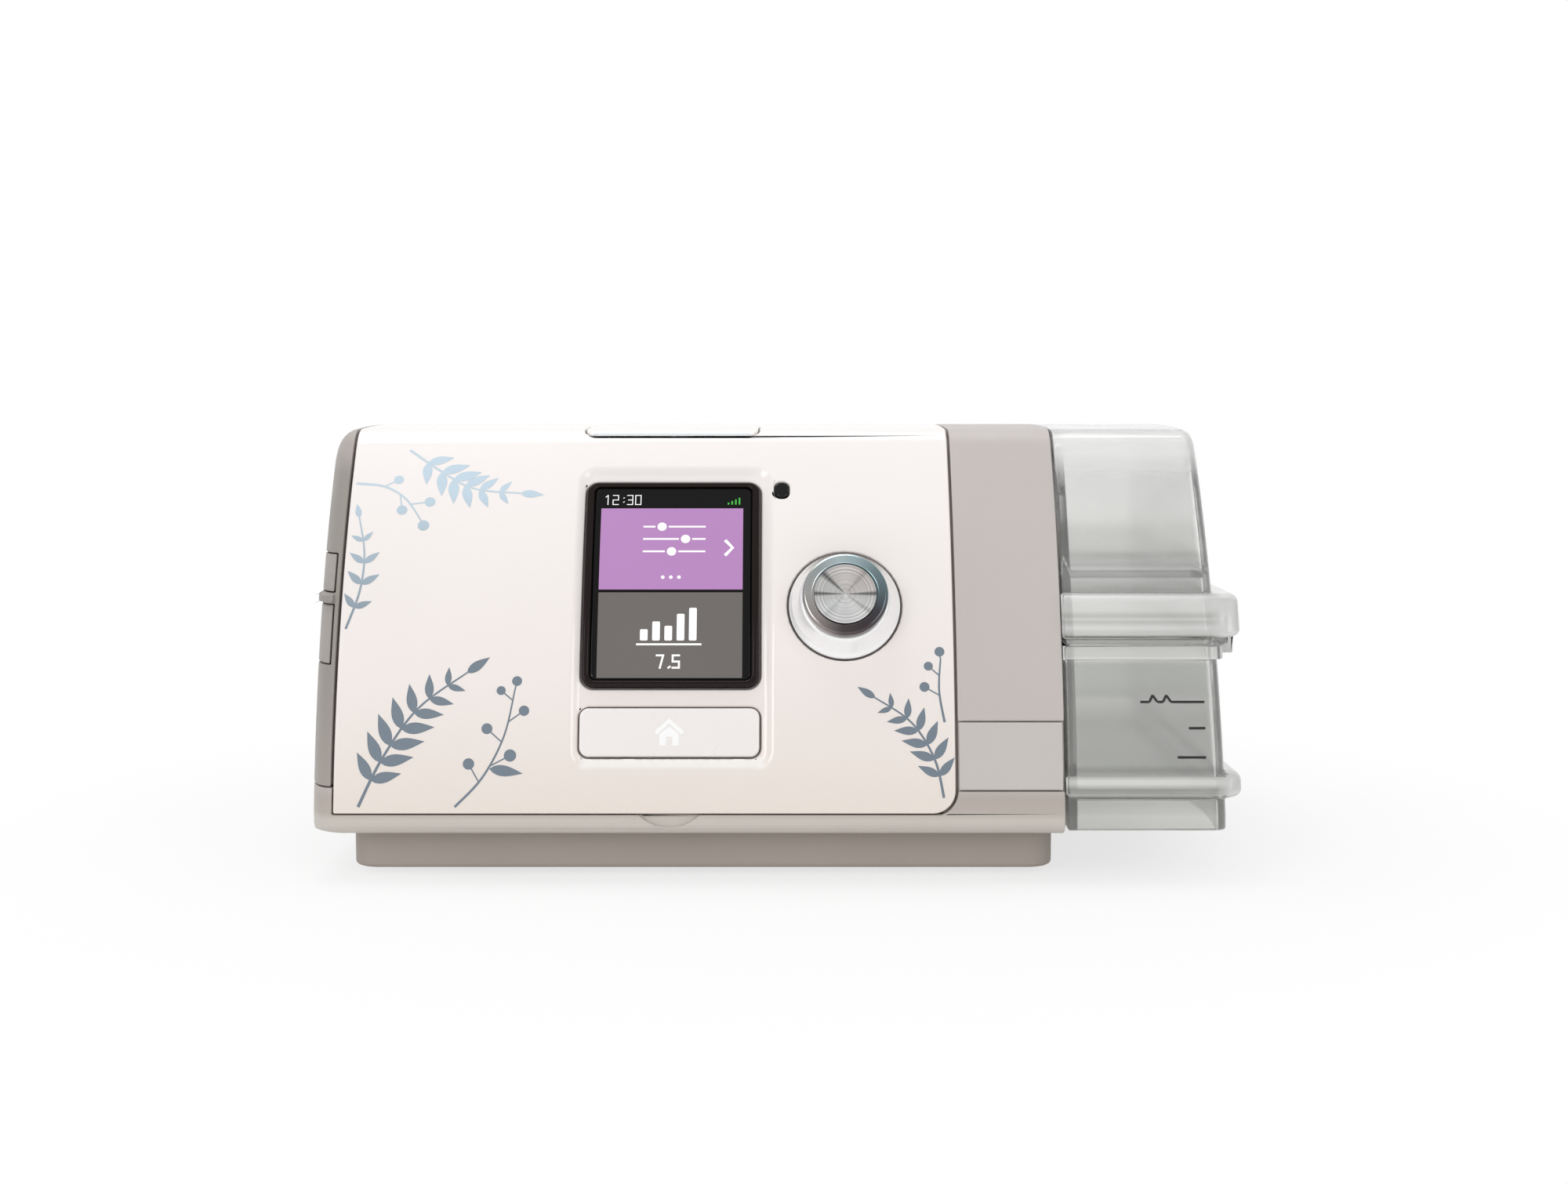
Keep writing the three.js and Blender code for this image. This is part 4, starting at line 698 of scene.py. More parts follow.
def filled(outlines, pitch):
    points, edges, faces = [], [], []
    frames = [[pick(p[i] for p in outline) for pick in (min, max) for i in (0, 1)] for outline in outlines]
    for outline, (x0, y0, x1, y1) in zip(outlines, frames):
        start, count = len(points), len(outline)
        points += [Vector(p) for p in outline]
        edges += [(start + i, start + (i + 1) % count) for i in range(count)]
        faces.append(list(range(start, start + count)))
        for i in range(math.ceil(x0 / pitch), math.ceil(x1 / pitch)):
            for j in range(math.ceil(y0 / pitch), math.ceil(y1 / pitch)):
                inner = (i * pitch + 0.011, j * pitch + 0.007)
                if inside(inner, outline):
                    points.append(Vector(inner))
    verts, _, made, _, _, _ = plane.delaunay_2d_cdt(points, edges, faces, 1, 1e-4)
    kept = []
    for corners in made:
        x = sum(verts[i].x for i in corners) / len(corners)
        y = sum(verts[i].y for i in corners) / len(corners)
        for outline, (x0, y0, x1, y1) in zip(outlines, frames):
            if x0 < x < x1 and y0 < y < y1 and inside((x, y), outline):
                kept.append(corners)
                break
    return verts, kept


def decal(name, outlines, out, finish, bodyName="housing", pitch=1.6, spot=panelSpot):
    verts, kept = filled([split(outline, pitch) for outline in outlines], pitch)
    sheet = makeMesh(name, [(v.x, *spot(v.y, out)) for v in verts], kept)
    up = outlines[0][0][1]
    ahead = Vector(spot(up, 1)) - Vector(spot(up, 0))
    with opened(sheet.data) as form:
        bmesh.ops.delete(form, geom=[v for v in form.verts if not v.link_faces], context="VERTS")
        for face in form.faces:
            if face.normal.y * ahead.x + face.normal.z * ahead.y < 0:
                face.normal_flip()
    shadeSmooth(sheet.data)
    dress(sheet, finish, bodyName)


# A closed block whose layers all follow the curved front, from outlines of equal count.
def curvedSlab(name, layers, pitch=2.4):
    count = len(layers[0][0])
    points, faces = [], []
    for outline, out in layers:
        points += [(x, *panelSpot(up, out)) for x, up in outline]
    for i in range(len(layers) - 1):
        for j in range(count):
            k = (j + 1) % count
            faces.append((i * count + j, i * count + k, (i + 1) * count + k, (i + 1) * count + j))
    for outline, out in (layers[0], layers[-1]):
        verts, kept = filled([outline], pitch)
        faces += [tuple(len(points) + i for i in corners) for corners in kept]
        points += [(v.x, *panelSpot(v.y, out)) for v in verts]
    return makeMesh(name, points, faces)


def framed(x, up, wide, tall, corner, steps=8, parts=28):
    points = roundedOutline(wide, tall, corner, steps)
    made = []
    for i, (x0, y0) in enumerate(points):
        x1, y1 = points[(i + 1) % len(points)]
        count = parts if (i + 1) % (steps + 1) == 0 else 1
        made += [(x + x0 + (x1 - x0) * k / count, up + y0 + (y1 - y0) * k / count) for k in range(count)]
    return made


def inside(spot, outline):
    within = False
    for i, (x0, y0) in enumerate(outline):
        x1, y1 = outline[i - 1]
        if (y0 > spot[1]) != (y1 > spot[1]) and spot[0] < (x1 - x0) * (spot[1] - y0) / (y1 - y0) + x0:
            within = not within
    return within


fascia = {"right": 39, "thick": 2, "groove": 0.6, "topBack": 22, "corner": 5, "edge": 0.45}
recess = {"x": -22.9, "up": 45.5, "wide": 42.6, "tall": 70.4, "corner": 3.6, "deep": 0.9, "slope": 2.6}
screen = {"x": -23.4, "up": 52.65, "wide": 39, "tall": 49.1, "corner": 2.6, "glassWide": 35,
          "glassTall": 46, "glassCorner": 1.2, "glassLow": -1.4, "glassHigh": -0.2, "edge": 0.6,
          "glassEdge": 0.15, "proud": 0.5, "sunk": 1.8, "behind": (36.6, 47.6, 0.6)}
home = {"edge": 0.4, "glyph": 1.12, "x": -23.45, "up": 17.8, "wide": 39.3, "tall": 10.6, "corner": 2,
        "proud": 0.3, "sunk": 1.5, "stem": 0.9, "stemPlan": (8, 3.4, 0.8), "behind": (9.8, 4.8, 0.6)}
sensor = {"x": 1.1, "up": 75.3, "wide": 3, "tall": 3.9, "corner": 1.46, "proud": 0.15, "thick": 2,
          "edge": 0.25}
dial = {"x": 15, "up": 46.3, "rise": 0.3, "slack": 0.5, "radius": 12.3, "top": 9.4, "high": 8.4,
        "ringTall": 2.6, "sunk": 0.9, "disc": 6.85, "shaft": 3, "behind": (6.8, 6.8, 3.39), "sides": 144,
        "creaseAngle": 42,
        "skirtFoot": [(-1.6, -0.9), (-0.15, -0.55), (0, 0), (0, 0.6), (-0.12, 0.95), (-0.5, 1.25)],
        "skirtCurve": 0.92, "ringRound": 0.8, "ringDeep": 1.2, "discDeep": 0.9, "discEdge": 0.12,
        "dish": 0.3}
power = {"coverLow": 60, "wayLow": 88, "edge": 0.35, "x": -24.2, "y": -28.4, "wide": 39.6, "deep": 17.6,
         "corner": 3, "sunk": 3.6, "stemY": -25, "stemPlan": (7, 7, 1.6), "stem": 1.6,
         "line": {"end": 1.8, "from": 0.3, "to": 0.7}}
slack = 0.4
dialHole = dial["radius"] + dial["slack"]
farLeft = body["flankStart"] - body["flankOut"] - over


def slab(name, inset, back, low, x0, x1):
    return sweepX(name, profile(inset, back, low), x0, x1)


# Front outline of the cover, seen along Y: round at its lower right corner.
def coverOutline(grow):
    right, low, corner = fascia["right"] + grow, body["seam"] - grow, fascia["corner"] + grow
    corners = arcAt(right - corner, low + corner, corner, 270, 90, 16)
    return [(farLeft, low)] + corners + [(right, farTop), (farLeft, farTop)]


def sweepY(name, outline, y0, y1):
    return loft(name, [[(x, y, z) for x, z in outline] for y in (y0, y1)])


def recessTool(levels=5):
    layers = []
    for i in range(-1, levels + 1):
        share = max(0, i / levels)
        grow = recess["slope"] * (0.5 - share)
        wide, tall = recess["wide"] + 2 * grow, recess["tall"] + 2 * grow
        outline = framed(recess["x"], recess["up"], wide, tall, recess["corner"] + grow)
        out = over if i < 0 else -recess["deep"] * share * share * (3 - 2 * share)
        layers.append((outline, out))
    return curvedSlab("recess", layers)


# What lies under the cover, from a depth below its outer face.
def underCover(depth, low):
    return slab("inner", depth, body["back"], low, body["flankStart"] - over, fascia["right"] + over)


def makeFascia():
    shell = slab("fascia", 0, body["back"], body["seam"], body["flankStart"], fascia["right"])
    shell = cut(shell, underCover(fascia["thick"], body["seam"] - over))
    shell = common(shell, sweepY("reach", coverOutline(0), body["front"] - over, fascia["topBack"]))
    shell = cut(shell, recessTool())
    tools = [
        holeFor(screen, slack),
        holeFor(home, slack),
        holeFor(sensor, 0.25, 0),
        panelHole(dial["x"], dial["up"] + dial["rise"], 2 * dialHole, 2 * dialHole, dialHole - 0.01),
        topTool(slack, power["coverLow"]),
    ]
    shell = cut(shell, *tools)
    dress(soften(shell, fascia["edge"], widest=400), "whiteGloss", "housing", "front_fascia")


# The opening for a piece, or the piece's own form, taken from its sizes.
def holeFor(piece, grow, rounder=None):
    rounder = grow if rounder is None else rounder
    return panelHole(piece["x"], piece["up"], piece["wide"] + 2 * grow, piece["tall"] + 2 * grow,
                     piece["corner"] + rounder)


def patchFor(name, piece, low, high):
    return panelPatch(name, piece["x"], piece["up"], piece["wide"], piece["tall"], piece["corner"],
                      low, high)


def topTool(grow, low):
    outline = roundedOutline(power["wide"] + 2 * grow, power["deep"] + 2 * grow, power["corner"])
    return sweepZ("topTool", [(x + power["x"], y + power["y"]) for x, y in outline], low, farTop)


makeFascia()
say("front cover")


# Housing behind the cover: strip on the right, flank on the left and the rear.
flankCovers = {
    "card": {"front": -80, "back": -22, "low": 62.3, "high": 70.3, "thick": 1.6},
    "adapter": {"front": -80, "back": -26, "low": 47, "high": 59.4, "thick": 1.6},
    "filter": {"front": 18, "back": 48, "low": 36, "high": 66, "thick": 1.6, "slots": 6, "slotTall": 1.7,
               "rim": 3.4},
    "wrap": 1.9, "edge": 0.3, "rib": 0.8,
}
plate = {"left": 39.8, "right": 62.4, "up": 12.6, "tall": 14.8, "corner": 0.3, "thick": 0.8,
         "proud": 0.02, "edge": 0.2}
outlet = {"x": 38, "z": 78.2, "root": 11.2, "tip": 10.8, "bore": 8.6, "flange": 11.6, "flangeThick": 2,
          "long": 18.7, "fillet": 0.5}
inlet = {"x": -1.5, "z": 30, "wide": 20, "tall": 15}
port = {"radius": 10, "inY": -9, "outY": 36, "z": 82}
bay = {"left": 14, "front": -45, "back": 56, "ceiling": 66.5}
cardSlotBox = (-48.3, -23.7, 64.95, 67.65)
adapterBox = (-50.3, -31.7, 48.7, 57.7)


def flankPocket(name, piece, deep, grow):
    edge = body["flankStart"] - flankCovers["wrap"] + grow
    reach = block(name, farLeft, edge, piece["front"] - grow, piece["back"] + grow, piece["low"] - grow,
                  piece["high"] + grow)
    return cut(reach, bodyCopy("under", deep))


def drum(name, radius, low, high, sides=96):
    return turnedMesh(name, [(0, low), (radius, low), (radius, high), (0, high)], sides)


def towards(axis, x, y, z):
    turn = {"x": Matrix.Rotation(math.radians(90), 4, "Y"),
            "y": Matrix.Rotation(math.radians(-90), 4, "X")}[axis]
    return Matrix.Translation((x, y, z)) @ turn


def fasciaSpace():
    groove = fascia["groove"]
    left, right = body["flankStart"] - groove, fascia["right"] + groove
    space = slab("space", -over, body["back"] + over, body["seam"] - groove, left, right)
    space = cut(space, underCover(fascia["thick"] + gap, body["seam"] - 2 * over))
    return common(space, sweepY("reach", coverOutline(groove), body["front"] - 2 * over,
                                fascia["topBack"] + groove))


def flankRib():
    edge = body["flankStart"] - flankCovers["wrap"]
    reach = block("ribReach", farLeft + over, edge, body["front"], flankCovers["card"]["back"],
                  flankCovers["adapter"]["high"] + 2 * gap, flankCovers["card"]["low"] - 2 * gap)
    return common(bodyCopy("rib", -flankCovers["rib"]), reach)


clip = {"edge": 0.4, "lugEdge": 0.15, "holeLong": 2.6, "wide": 27, "tall": 15, "thick": 2.2, "window": 21,
        "bar": 3, "top": 42.5, "pin": 0.8, "pinLong": 2, "pinDrop": 0.3, "lug": 2, "lugHalf": 2.2}
clipY = body["back"] + gap
clipPinLevel = clip["top"] - clip["pinDrop"]


def clipPins(grow, long):
    half = clip["wide"] / 2 + long
    pin = drum("clipPins", clip["pin"] + grow, -half, half, 32)
    return placed(pin, towards("x", inlet["x"], clipY + clip["thick"] / 2, clipPinLevel))


def makeClipLugs():
    lugs = []
    for side in (-1, 1):
        near = inlet["x"] + side * (clip["wide"] / 2 + gap)
        far = near + side * clip["lug"]
        lugs.append(block("clipLugs", min(near, far), max(near, far), body["back"] - gap,
                          clipY + clip["thick"] + gap, clipPinLevel - clip["lugHalf"],
                          clipPinLevel + clip["lugHalf"]))
    pair = cut(join(*lugs), clipPins(gap / 2, clip["holeLong"]))
    dress(soften(pair, clip["lugEdge"], 2), "caseGrey", "housing")


# A block that reaches past the body's front and back.
def lengthwise(name, x0, x1, z0, z1):
    return block(name, x0, x1, body["front"] - over, body["back"] + over, z0, z1)


def makeRearHousing():
    above = lengthwise("above", body["flankStart"], body["right"] + over, body["seam"], farTop)
    above = join(above, lengthwise("left", farLeft, body["flankStart"] + gap, body["flankSeam"], farTop))
    shell = cut(common(bodyCopy("rearHousing"), above), fasciaSpace())
    shell = join(shell, flankRib())
    lip = cut(
        slab("lip", -over, body["back"] + over, body["seam"], fascia["right"], body["right"] + over),
        slab("under", plate["thick"] + gap, body["back"], body["bottom"], fascia["right"] - over,
             body["right"] + over),
    )
    near, far = fascia["right"] - over, body["right"] + 2 * over
    reach = panelHole((near + far) / 2, plate["up"], far - near, plate["tall"] + 2 * gap, plate["corner"])
    shell = cut(shell, common(reach, lip))
    room = slab("room", fascia["thick"] + gap + body["wall"], body["back"] + fascia["thick"],
                body["bottom"] - over, body["cavityLeft"], body["right"] - body["wall"])
    y0, y1, z0, z1 = cardSlotBox
    a0, a1, b0, b1 = adapterBox
    filterCover = flankCovers["filter"]
    rim = filterCover["rim"]
    inner = body["cavityLeft"] + over
    inletHalf = inlet["wide"] / 2 + gap
    tools = [
        room,
        *[flankPocket("pocket", piece, piece["thick"] + gap, gap)
          for piece in (flankCovers["card"], flankCovers["adapter"], filterCover)],
        block("cardMouth", farLeft, inner, y0, y1, z0, z1),
        block("adapterMouth", farLeft, inner, a0, a1, b0, b1),
        block("filterMouth", farLeft, inner, filterCover["front"] + rim, filterCover["back"] - rim,
              filterCover["low"] + rim, filterCover["high"] - rim),
        block("plug", inlet["x"] - inletHalf, inlet["x"] + inletHalf, bay["back"], body["back"] + over,
              inlet["z"] - inlet["tall"] / 2 - gap, inlet["z"] + inlet["tall"] / 2 + gap),
        placed(drum("spout", outlet["root"] + gap, -over, 20),
               towards("y", outlet["x"], bay["back"], outlet["z"])),
        *[placed(drum("way", port["radius"] + gap, -over - body["wall"], over),
                 towards("x", body["right"], y, port["z"])) for y in (port["inY"], port["outY"])],
        block("bay", bay["left"] - gap, body["right"] + over, bay["front"] - gap, bay["back"] + gap,
              body["seam"] - over, bay["ceiling"] + gap),
        *[panelHole(piece["x"], piece["up"], *piece["behind"]) for piece in (screen, home, dial)],
        topTool(slack, power["wayLow"]),
    ]
    return cut(shell, *tools)


def makeLabelPlate():
    middle, wide = (plate["left"] + plate["right"]) / 2, plate["right"] - plate["left"]
    piece = panelPatch("labelPlate", middle, plate["up"], wide, plate["tall"], plate["corner"],
                       -plate["thick"], plate["proud"])
    dress(soften(piece, plate["edge"], 2), "labelGrey", "housing", "label_plate")


def makeFlankCover(kind):
    name, piece = f"{kind}_cover", flankCovers[kind]
    skin = common(flankPocket(name, piece, piece["thick"], 0), bodyCopy("skin"))
    if kind == "filter":
        rim, slots = piece["rim"], piece["slots"]
        pitch = (piece["high"] - piece["low"] - 2 * rim) / slots
        rows = [piece["low"] + rim + pitch * (i + 0.5) for i in range(slots)]
        y0, y1, half = piece["front"] + rim, piece["back"] - rim, piece["slotTall"] / 2
        skin = cut(skin, *[block("slot", farLeft, body["flankStart"], y0, y1, z - half, z + half)
                           for z in rows])
    # The flank covers take the grey that paints in the flank's shade.
    dress(soften(skin, flankCovers["edge"], 2), "flankGreyPaintedShade", name, name)


makeLabelPlate()
for coverKind in ("card", "adapter", "filter"):
    makeFlankCover(coverKind)
say("flank covers")


# Tray with the thumb scoop, and the plinth under it.
scoop = {"x": -23.4, "wide": 13.6, "drop": 3, "deep": 1.2, "bridge": 33.6}
plinth = {"left": -93.6, "right": 60.8, "front": -66, "back": 58, "low": 1.5, "corner": 5.5, "wall": 2,
          "bevel": 1, "out": 0.5, "footIn": 15, "screwIn": 26, "sideScrewIn": 7.5, "footPost": 8.5,
          "screwPost": 5, "footSeat": 6.8, "footDeep": 3.3, "pilot": 1.8,
          "screwSeat": [(0, -1.3), (3.3, -1.3), (3.3, 5), (1.8, 5), (1.8, 15), (0, 15)]}


# Three corners, the front left one first, each as far in as the given sizes say.
def cornerSpots(across, along):
    x0, x1 = plinth["left"] + across, plinth["right"] - across
    y0, y1 = plinth["front"] + along, plinth["back"] - along
    return [(x0, y0), (x1, y0), (x1, y1)]


def screwSpots():
    side = (plinth["left"] + plinth["sideScrewIn"], (plinth["front"] + plinth["back"]) / 2)
    return cornerSpots(plinth["screwIn"], plinth["footIn"]) + [side]


def footSpots():
    deep = plinth["footIn"]
    return cornerSpots(deep, deep) + [(plinth["left"] + deep, plinth["back"] - deep)]


def drumsAt(spots, *sizes):
    return [placed(drum(*sizes), Matrix.Translation((x, y, 0))) for x, y in spots]


def makeTray():
    below = lengthwise("below", farLeft, body["right"] + over, body["bottom"] - over, body["seam"] - gap)
    below = join(below, lengthwise("left", farLeft, body["flankStart"] - gap, body["bottom"] - over,
                                   body["flankSeam"] - gap))
    shell = common(bodyCopy("tray"), below)
    radius = (scoop["wide"] ** 2 / 4 + scoop["drop"] ** 2) / (2 * scoop["drop"])
    dip = drum("dip", radius, -over, scoop["deep"], 128)
    dip = placed(dip, towards("y", scoop["x"], body["front"], body["seam"] - scoop["drop"] + radius))
    wall = body["wall"]
    hollow = block("hollow", body["cavityLeft"], body["right"] - wall, body["front"] + 2 * wall,
                   body["back"] - 2 * wall, body["bottom"] + wall, body["flankSeam"] + over)
    pilots = drumsAt(screwSpots(), "pilot", plinth["pilot"], 0, body["seam"], 24)
    return cut(cut(shell, dip), hollow, *pilots)


# The strip runs down into the tray without a seam, so the two are one skin there.
def makeCase():
    bridge = block("bridge", scoop["bridge"], body["right"] + over, body["front"] - over,
                   body["front"] + body["wall"],
                   body["seam"] - 1, body["seam"] + 1)
    bridge = cut(common(bridge, bodyCopy("skin")), fasciaSpace())
    case = tidied(join(makeRearHousing(), makeTray(), bridge))
    return dress(soften(case, body["caseEdge"], creases=(body["seam"],)), "caseGrey", "housing",
                 "rear_housing", "bottom_housing")


# Strip, rear and tray in one finish; its left flank is darker above the tray by painted shade, and its
# front has painted light and shade by height.
def makeCaseGrey():
    made = Shader("caseGrey", linear(196, 189, 186), 0.44)
    height = made.axis("Z")
    # Mask of the left flank above the tray, where painted shade darkens the grey.
    side = made.between(made.axis("X"), -0.095, -0.0971)
    flank = made.calc("MULTIPLY", side, made.between(height, 0.0207, 0.0209))
    # Painted light and shade by height on the front: lighter over the tray, darker just above the seam.
    front = made.ramp(height,
                      [(0.0105, (203, 197, 189)), (0.0138, (203, 197, 189)), (0.0155, (185, 177, 169)),
                               (0.0185, (182, 172, 165)), (0.021, (191, 183, 179)),
                               (0.024, (196, 189, 186))])
    # Painted shade on the left flank, a little lighter towards its top.
    left = made.ramp(height, [(0.02, (167, 159, 153)), (0.05, (153, 148, 141)), (0.088, (155, 149, 143)),
                              (0.093, (176, 169, 165))])
    made.shaded(made.mix(flank, front, left))
    made.rough(made.noise(160, 4), 0.39, 0.49)
    made.bump(made.noise(2600, 2), 0.35, 0.00002)
    return made.material


def plinthOutline(inset):
    return roundedPlan(plinth, plinth["out"] - inset, -inset, plinth["corner"] - inset / 2, 10)


def makePlinth():
    low, top = plinth["low"], body["bottom"] - gap
    sections = []
    for inwards, along in quarterRound(5):
        high = low + plinth["bevel"] * along
        sections.append([(x, y, high) for x, y in plinthOutline(plinth["bevel"] * inwards)])
    sections.append([(x, y, top) for x, y in plinthOutline(0)])
    room = sweepZ("room", plinthOutline(plinth["wall"]), low + plinth["wall"], top + over)
    posts = drumsAt(footSpots(), "post", plinth["footPost"], 0, top + 2 * over, 48)
    posts += drumsAt(screwSpots(), "post", plinth["screwPost"], 0, top + 2 * over, 48)
    shell = cut(loft("plinth", sections), cut(room, *posts))
    shell = cut(shell, *drumsAt(footSpots(), "footSeat", plinth["footSeat"], -gap, plinth["footDeep"], 48))
    for x, y in screwSpots():
        seat = turnedMesh("screwSeat", plinth["screwSeat"], 40)
        shell = cut(shell, placed(seat, Matrix.Translation((x, y, 0))))
    return dress(smooth(shell), "plinthGrey", "housing", "plinth")


add(makeCaseGrey())
makeCase()
makeClipLugs()
makePlinth()
say("case and plinth")


# Screen: bevelled black frame, dark glass and a lit display of tiles.
def makeBezel():
    surround = patchFor("bezel", screen, -screen["sunk"], screen["proud"])
    opening = panelHole(screen["x"], screen["up"], screen["glassWide"] + 2 * gap,
                        screen["glassTall"] + 2 * gap,
                        screen["glassCorner"] + gap)
    dress(soften(cut(surround, opening), screen["edge"], 5), "blackGloss", "housing", "screen_bezel")


def makeGlass():
    sheet = panelPatch("screenGlass", screen["x"], screen["up"], screen["glassWide"], screen["glassTall"],
                       screen["glassCorner"], screen["glassLow"], screen["glassHigh"])
    dress(soften(sheet, screen["glassEdge"], 2), "screenBlack", "housing", "screen_glass")


def rectangle(x0, x1, up0, up1, corner=0.0):
    if not corner:
        return [(x0, up0), (x1, up0), (x1, up1), (x0, up1)]
    outline = roundedOutline(x1 - x0, up1 - up0, corner, 5)
    return [((x0 + x1) / 2 + x, (up0 + up1) / 2 + y) for x, y in outline]


def disc(x, up, radius, sides=28):
    turns = [2 * math.pi * i / sides for i in range(sides)]
    return [(x + radius * math.cos(t), up + radius * math.sin(t)) for t in turns]


def stroke(points, width):
    left, right = [], []
    for i, (x, y) in enumerate(points):
        x0, y0 = points[max(0, i - 1)]
        x1, y1 = points[min(len(points) - 1, i + 1)]
        length = math.hypot(x1 - x0, y1 - y0) or 1
        w = width(i / (len(points) - 1)) if callable(width) else width
        nx, ny = -(y1 - y0) / length * w / 2, (x1 - x0) / length * w / 2
        left.append((x + nx, y + ny))
        right.append((x - nx, y - ny))
    return left + right[::-1]


# The digits that the display shows, as strokes on a 3 by 5 grid.
digitPaths = {
    "0": [[(0, 0), (2, 0), (2, 4), (0, 4), (0, 0)]],
    "1": [[(0.4, 3.3), (1.2, 4), (1.2, 0)]],
    "2": [[(0, 4), (2, 4), (2, 2), (0, 2), (0, 0), (2, 0)]],
    "3": [[(0, 4), (2, 4), (2, 0), (0, 0)], [(0.4, 2), (2, 2)]],
    "5": [[(2, 4), (0, 4), (0, 2), (2, 2), (2, 0), (0, 0)]],
    "7": [[(0, 4), (2, 4), (1, 0)]],
    ":": [[(0.9, 1.0), (1.1, 1.2)], [(0.9, 2.8), (1.1, 3.0)]],
    ".": [[(0.6, 0), (1.0, 0.3)]],
}


def digitShapes(text, x, up, tall, weight):
    unit = tall / 4
    shapes = []
    for mark in text:
        for path in digitPaths[mark]:
            spots = [(x + a * unit, up + b * unit) for a, b in path]
            for (x0, y0), (x1, y1) in zip(spots, spots[1:]):
                length = math.hypot(x1 - x0, y1 - y0) or 1
                ex, ey = (x1 - x0) / length * weight / 2, (y1 - y0) / length * weight / 2
                shapes.append(stroke([(x0 - ex, y0 - ey), (x1 + ex, y1 + ey)], weight))
        x += unit * (2.3 if mark == ":" else 1.9 if mark == "." else 3.1)
    return shapes


display = {"left": -39.6, "right": -7.6, "low": 29.9, "tile": 70.5, "split": 50, "half": 0.35,
           "tileOut": -0.16, "markOut": -0.14}


def mark(name, outlines, finish="displayWhite"):
    decal(name, outlines, display["markOut"], finish)


def makeDisplay():
    left, right = display["left"], display["right"]
    low, split, tile = display["low"], display["split"], display["tile"]
    decal("displayUpper", [rectangle(left, right, split + display["half"], tile)], display["tileOut"],
          "tilePurple")
    decal("displayLower", [rectangle(left, right, low, split - display["half"])], display["tileOut"],
          "tileGrey")
    mark("displayClock", digitShapes("12:30", left + 0.7, 71.5, 2.4, 0.2))
    bars = [rectangle(-11.1 + 0.82 * i, -10.75 + 0.82 * i, 71.5, 72 + 0.42 * i) for i in range(4)]
    mark("displaySignal", bars, "displayGreen")
    sliders = []
    for i, share in enumerate((0.3, 0.68, 0.46)):
        up = 65.8 - 3.1 * i
        knob = -30 + 14 * share
        sliders.append(rectangle(-30, knob - 1.5, up - 0.22, up + 0.22))
        sliders.append(rectangle(knob + 1.5, -16, up - 0.22, up + 0.22))
        sliders.append(disc(knob, up, 1.05))
    mark("displaySliders", sliders)
    tip = [(-11.6, 62.4), (-9.9, 60.5), (-11.6, 58.6)]
    mark("displayArrow", [stroke(tip, 0.75)])
    mark("displayDots", [disc(-25.4 + 1.8 * i, 53.3, 0.42, 16) for i in range(3)])
    heights = (2.6, 4.4, 3.4, 6.2, 7.6)
    chart = [rectangle(-30.2 + 2.7 * i, -28.5 + 2.7 * i, 38.4, 38.4 + tall, 0.3) for i,
             tall in enumerate(heights)]
    chart.append(rectangle(-31, -16.6, 37.3, 37.75))
    mark("displayChart", chart)
    mark("displayHours", digitShapes("7.5", -26.4, 32.2, 2.8, 0.44))


add(glowing("tilePurple", linear(188, 138, 196), 0.72))
add(glowing("tileGrey", linear(111, 106, 103), 0.7))
add(glowing("displayWhite", linear(250, 250, 250), 0.85))
add(glowing("displayGreen", linear(66, 190, 70), 0.8))
makeBezel()
makeGlass()
makeDisplay()
say("screen")


# Home button with its glyph, light sensor and start/stop button.
def makeHomeButton():
    cap = patchFor("homeButton", home, -home["sunk"], home["proud"])
    post = sweepZ("stem", roundedOutline(*home["stemPlan"]), -home["sunk"] - home["stem"],
                  -home["sunk"] / 2)
    cap = join(cap, placed(post, panelFrame(home["x"], home["up"])))
    dress(soften(cap, home["edge"]), "buttonWhite", "home_button", "home_button")
    roof = [(-2.9, 0.1), (0, 2.7), (2.9, 0.1), (2.4, -0.5), (0, 1.7), (-2.4, -0.5)]
    walls = [(-1.9, -2.6), (-0.6, -2.6), (-0.6, -0.9), (0.6, -0.9), (0.6, -2.6), (1.9, -2.6), (1.9, -0.4),
             (0, 1.1), (-1.9, -0.4)]
    grow = home["glyph"]
    shift = [[(home["x"] + grow * x, home["up"] + grow * y) for x, y in shape] for shape in (roof, walls)]
    decal("homeGlyph", shift, home["proud"] + 0.02, "glyphWhite", "home_button")


def makeSensor():
    outline = roundedOutline(sensor["wide"], sensor["tall"], sensor["corner"], 10)
    lens = placed(sweepZ("lightSensor", outline, -sensor["thick"], sensor["proud"]),
                  panelFrame(sensor["x"], sensor["up"]))
    dress(soften(lens, sensor["edge"]), "sensorBlack", "housing", "light_sensor")


crownCurve = profile(0, body["back"], body["bottom"], 2.0)


# A point on the crown above a given Y.
def crownSpot(y, out):
    for (y0, z0), (y1, z1) in zip(crownCurve, crownCurve[1:]):
        if y0 <= y <= y1 and z0 > body["seam"]:
            return (y, z0 + (z1 - z0) * (y - y0) / (y1 - y0) + out)
    return (y, crownLevel)


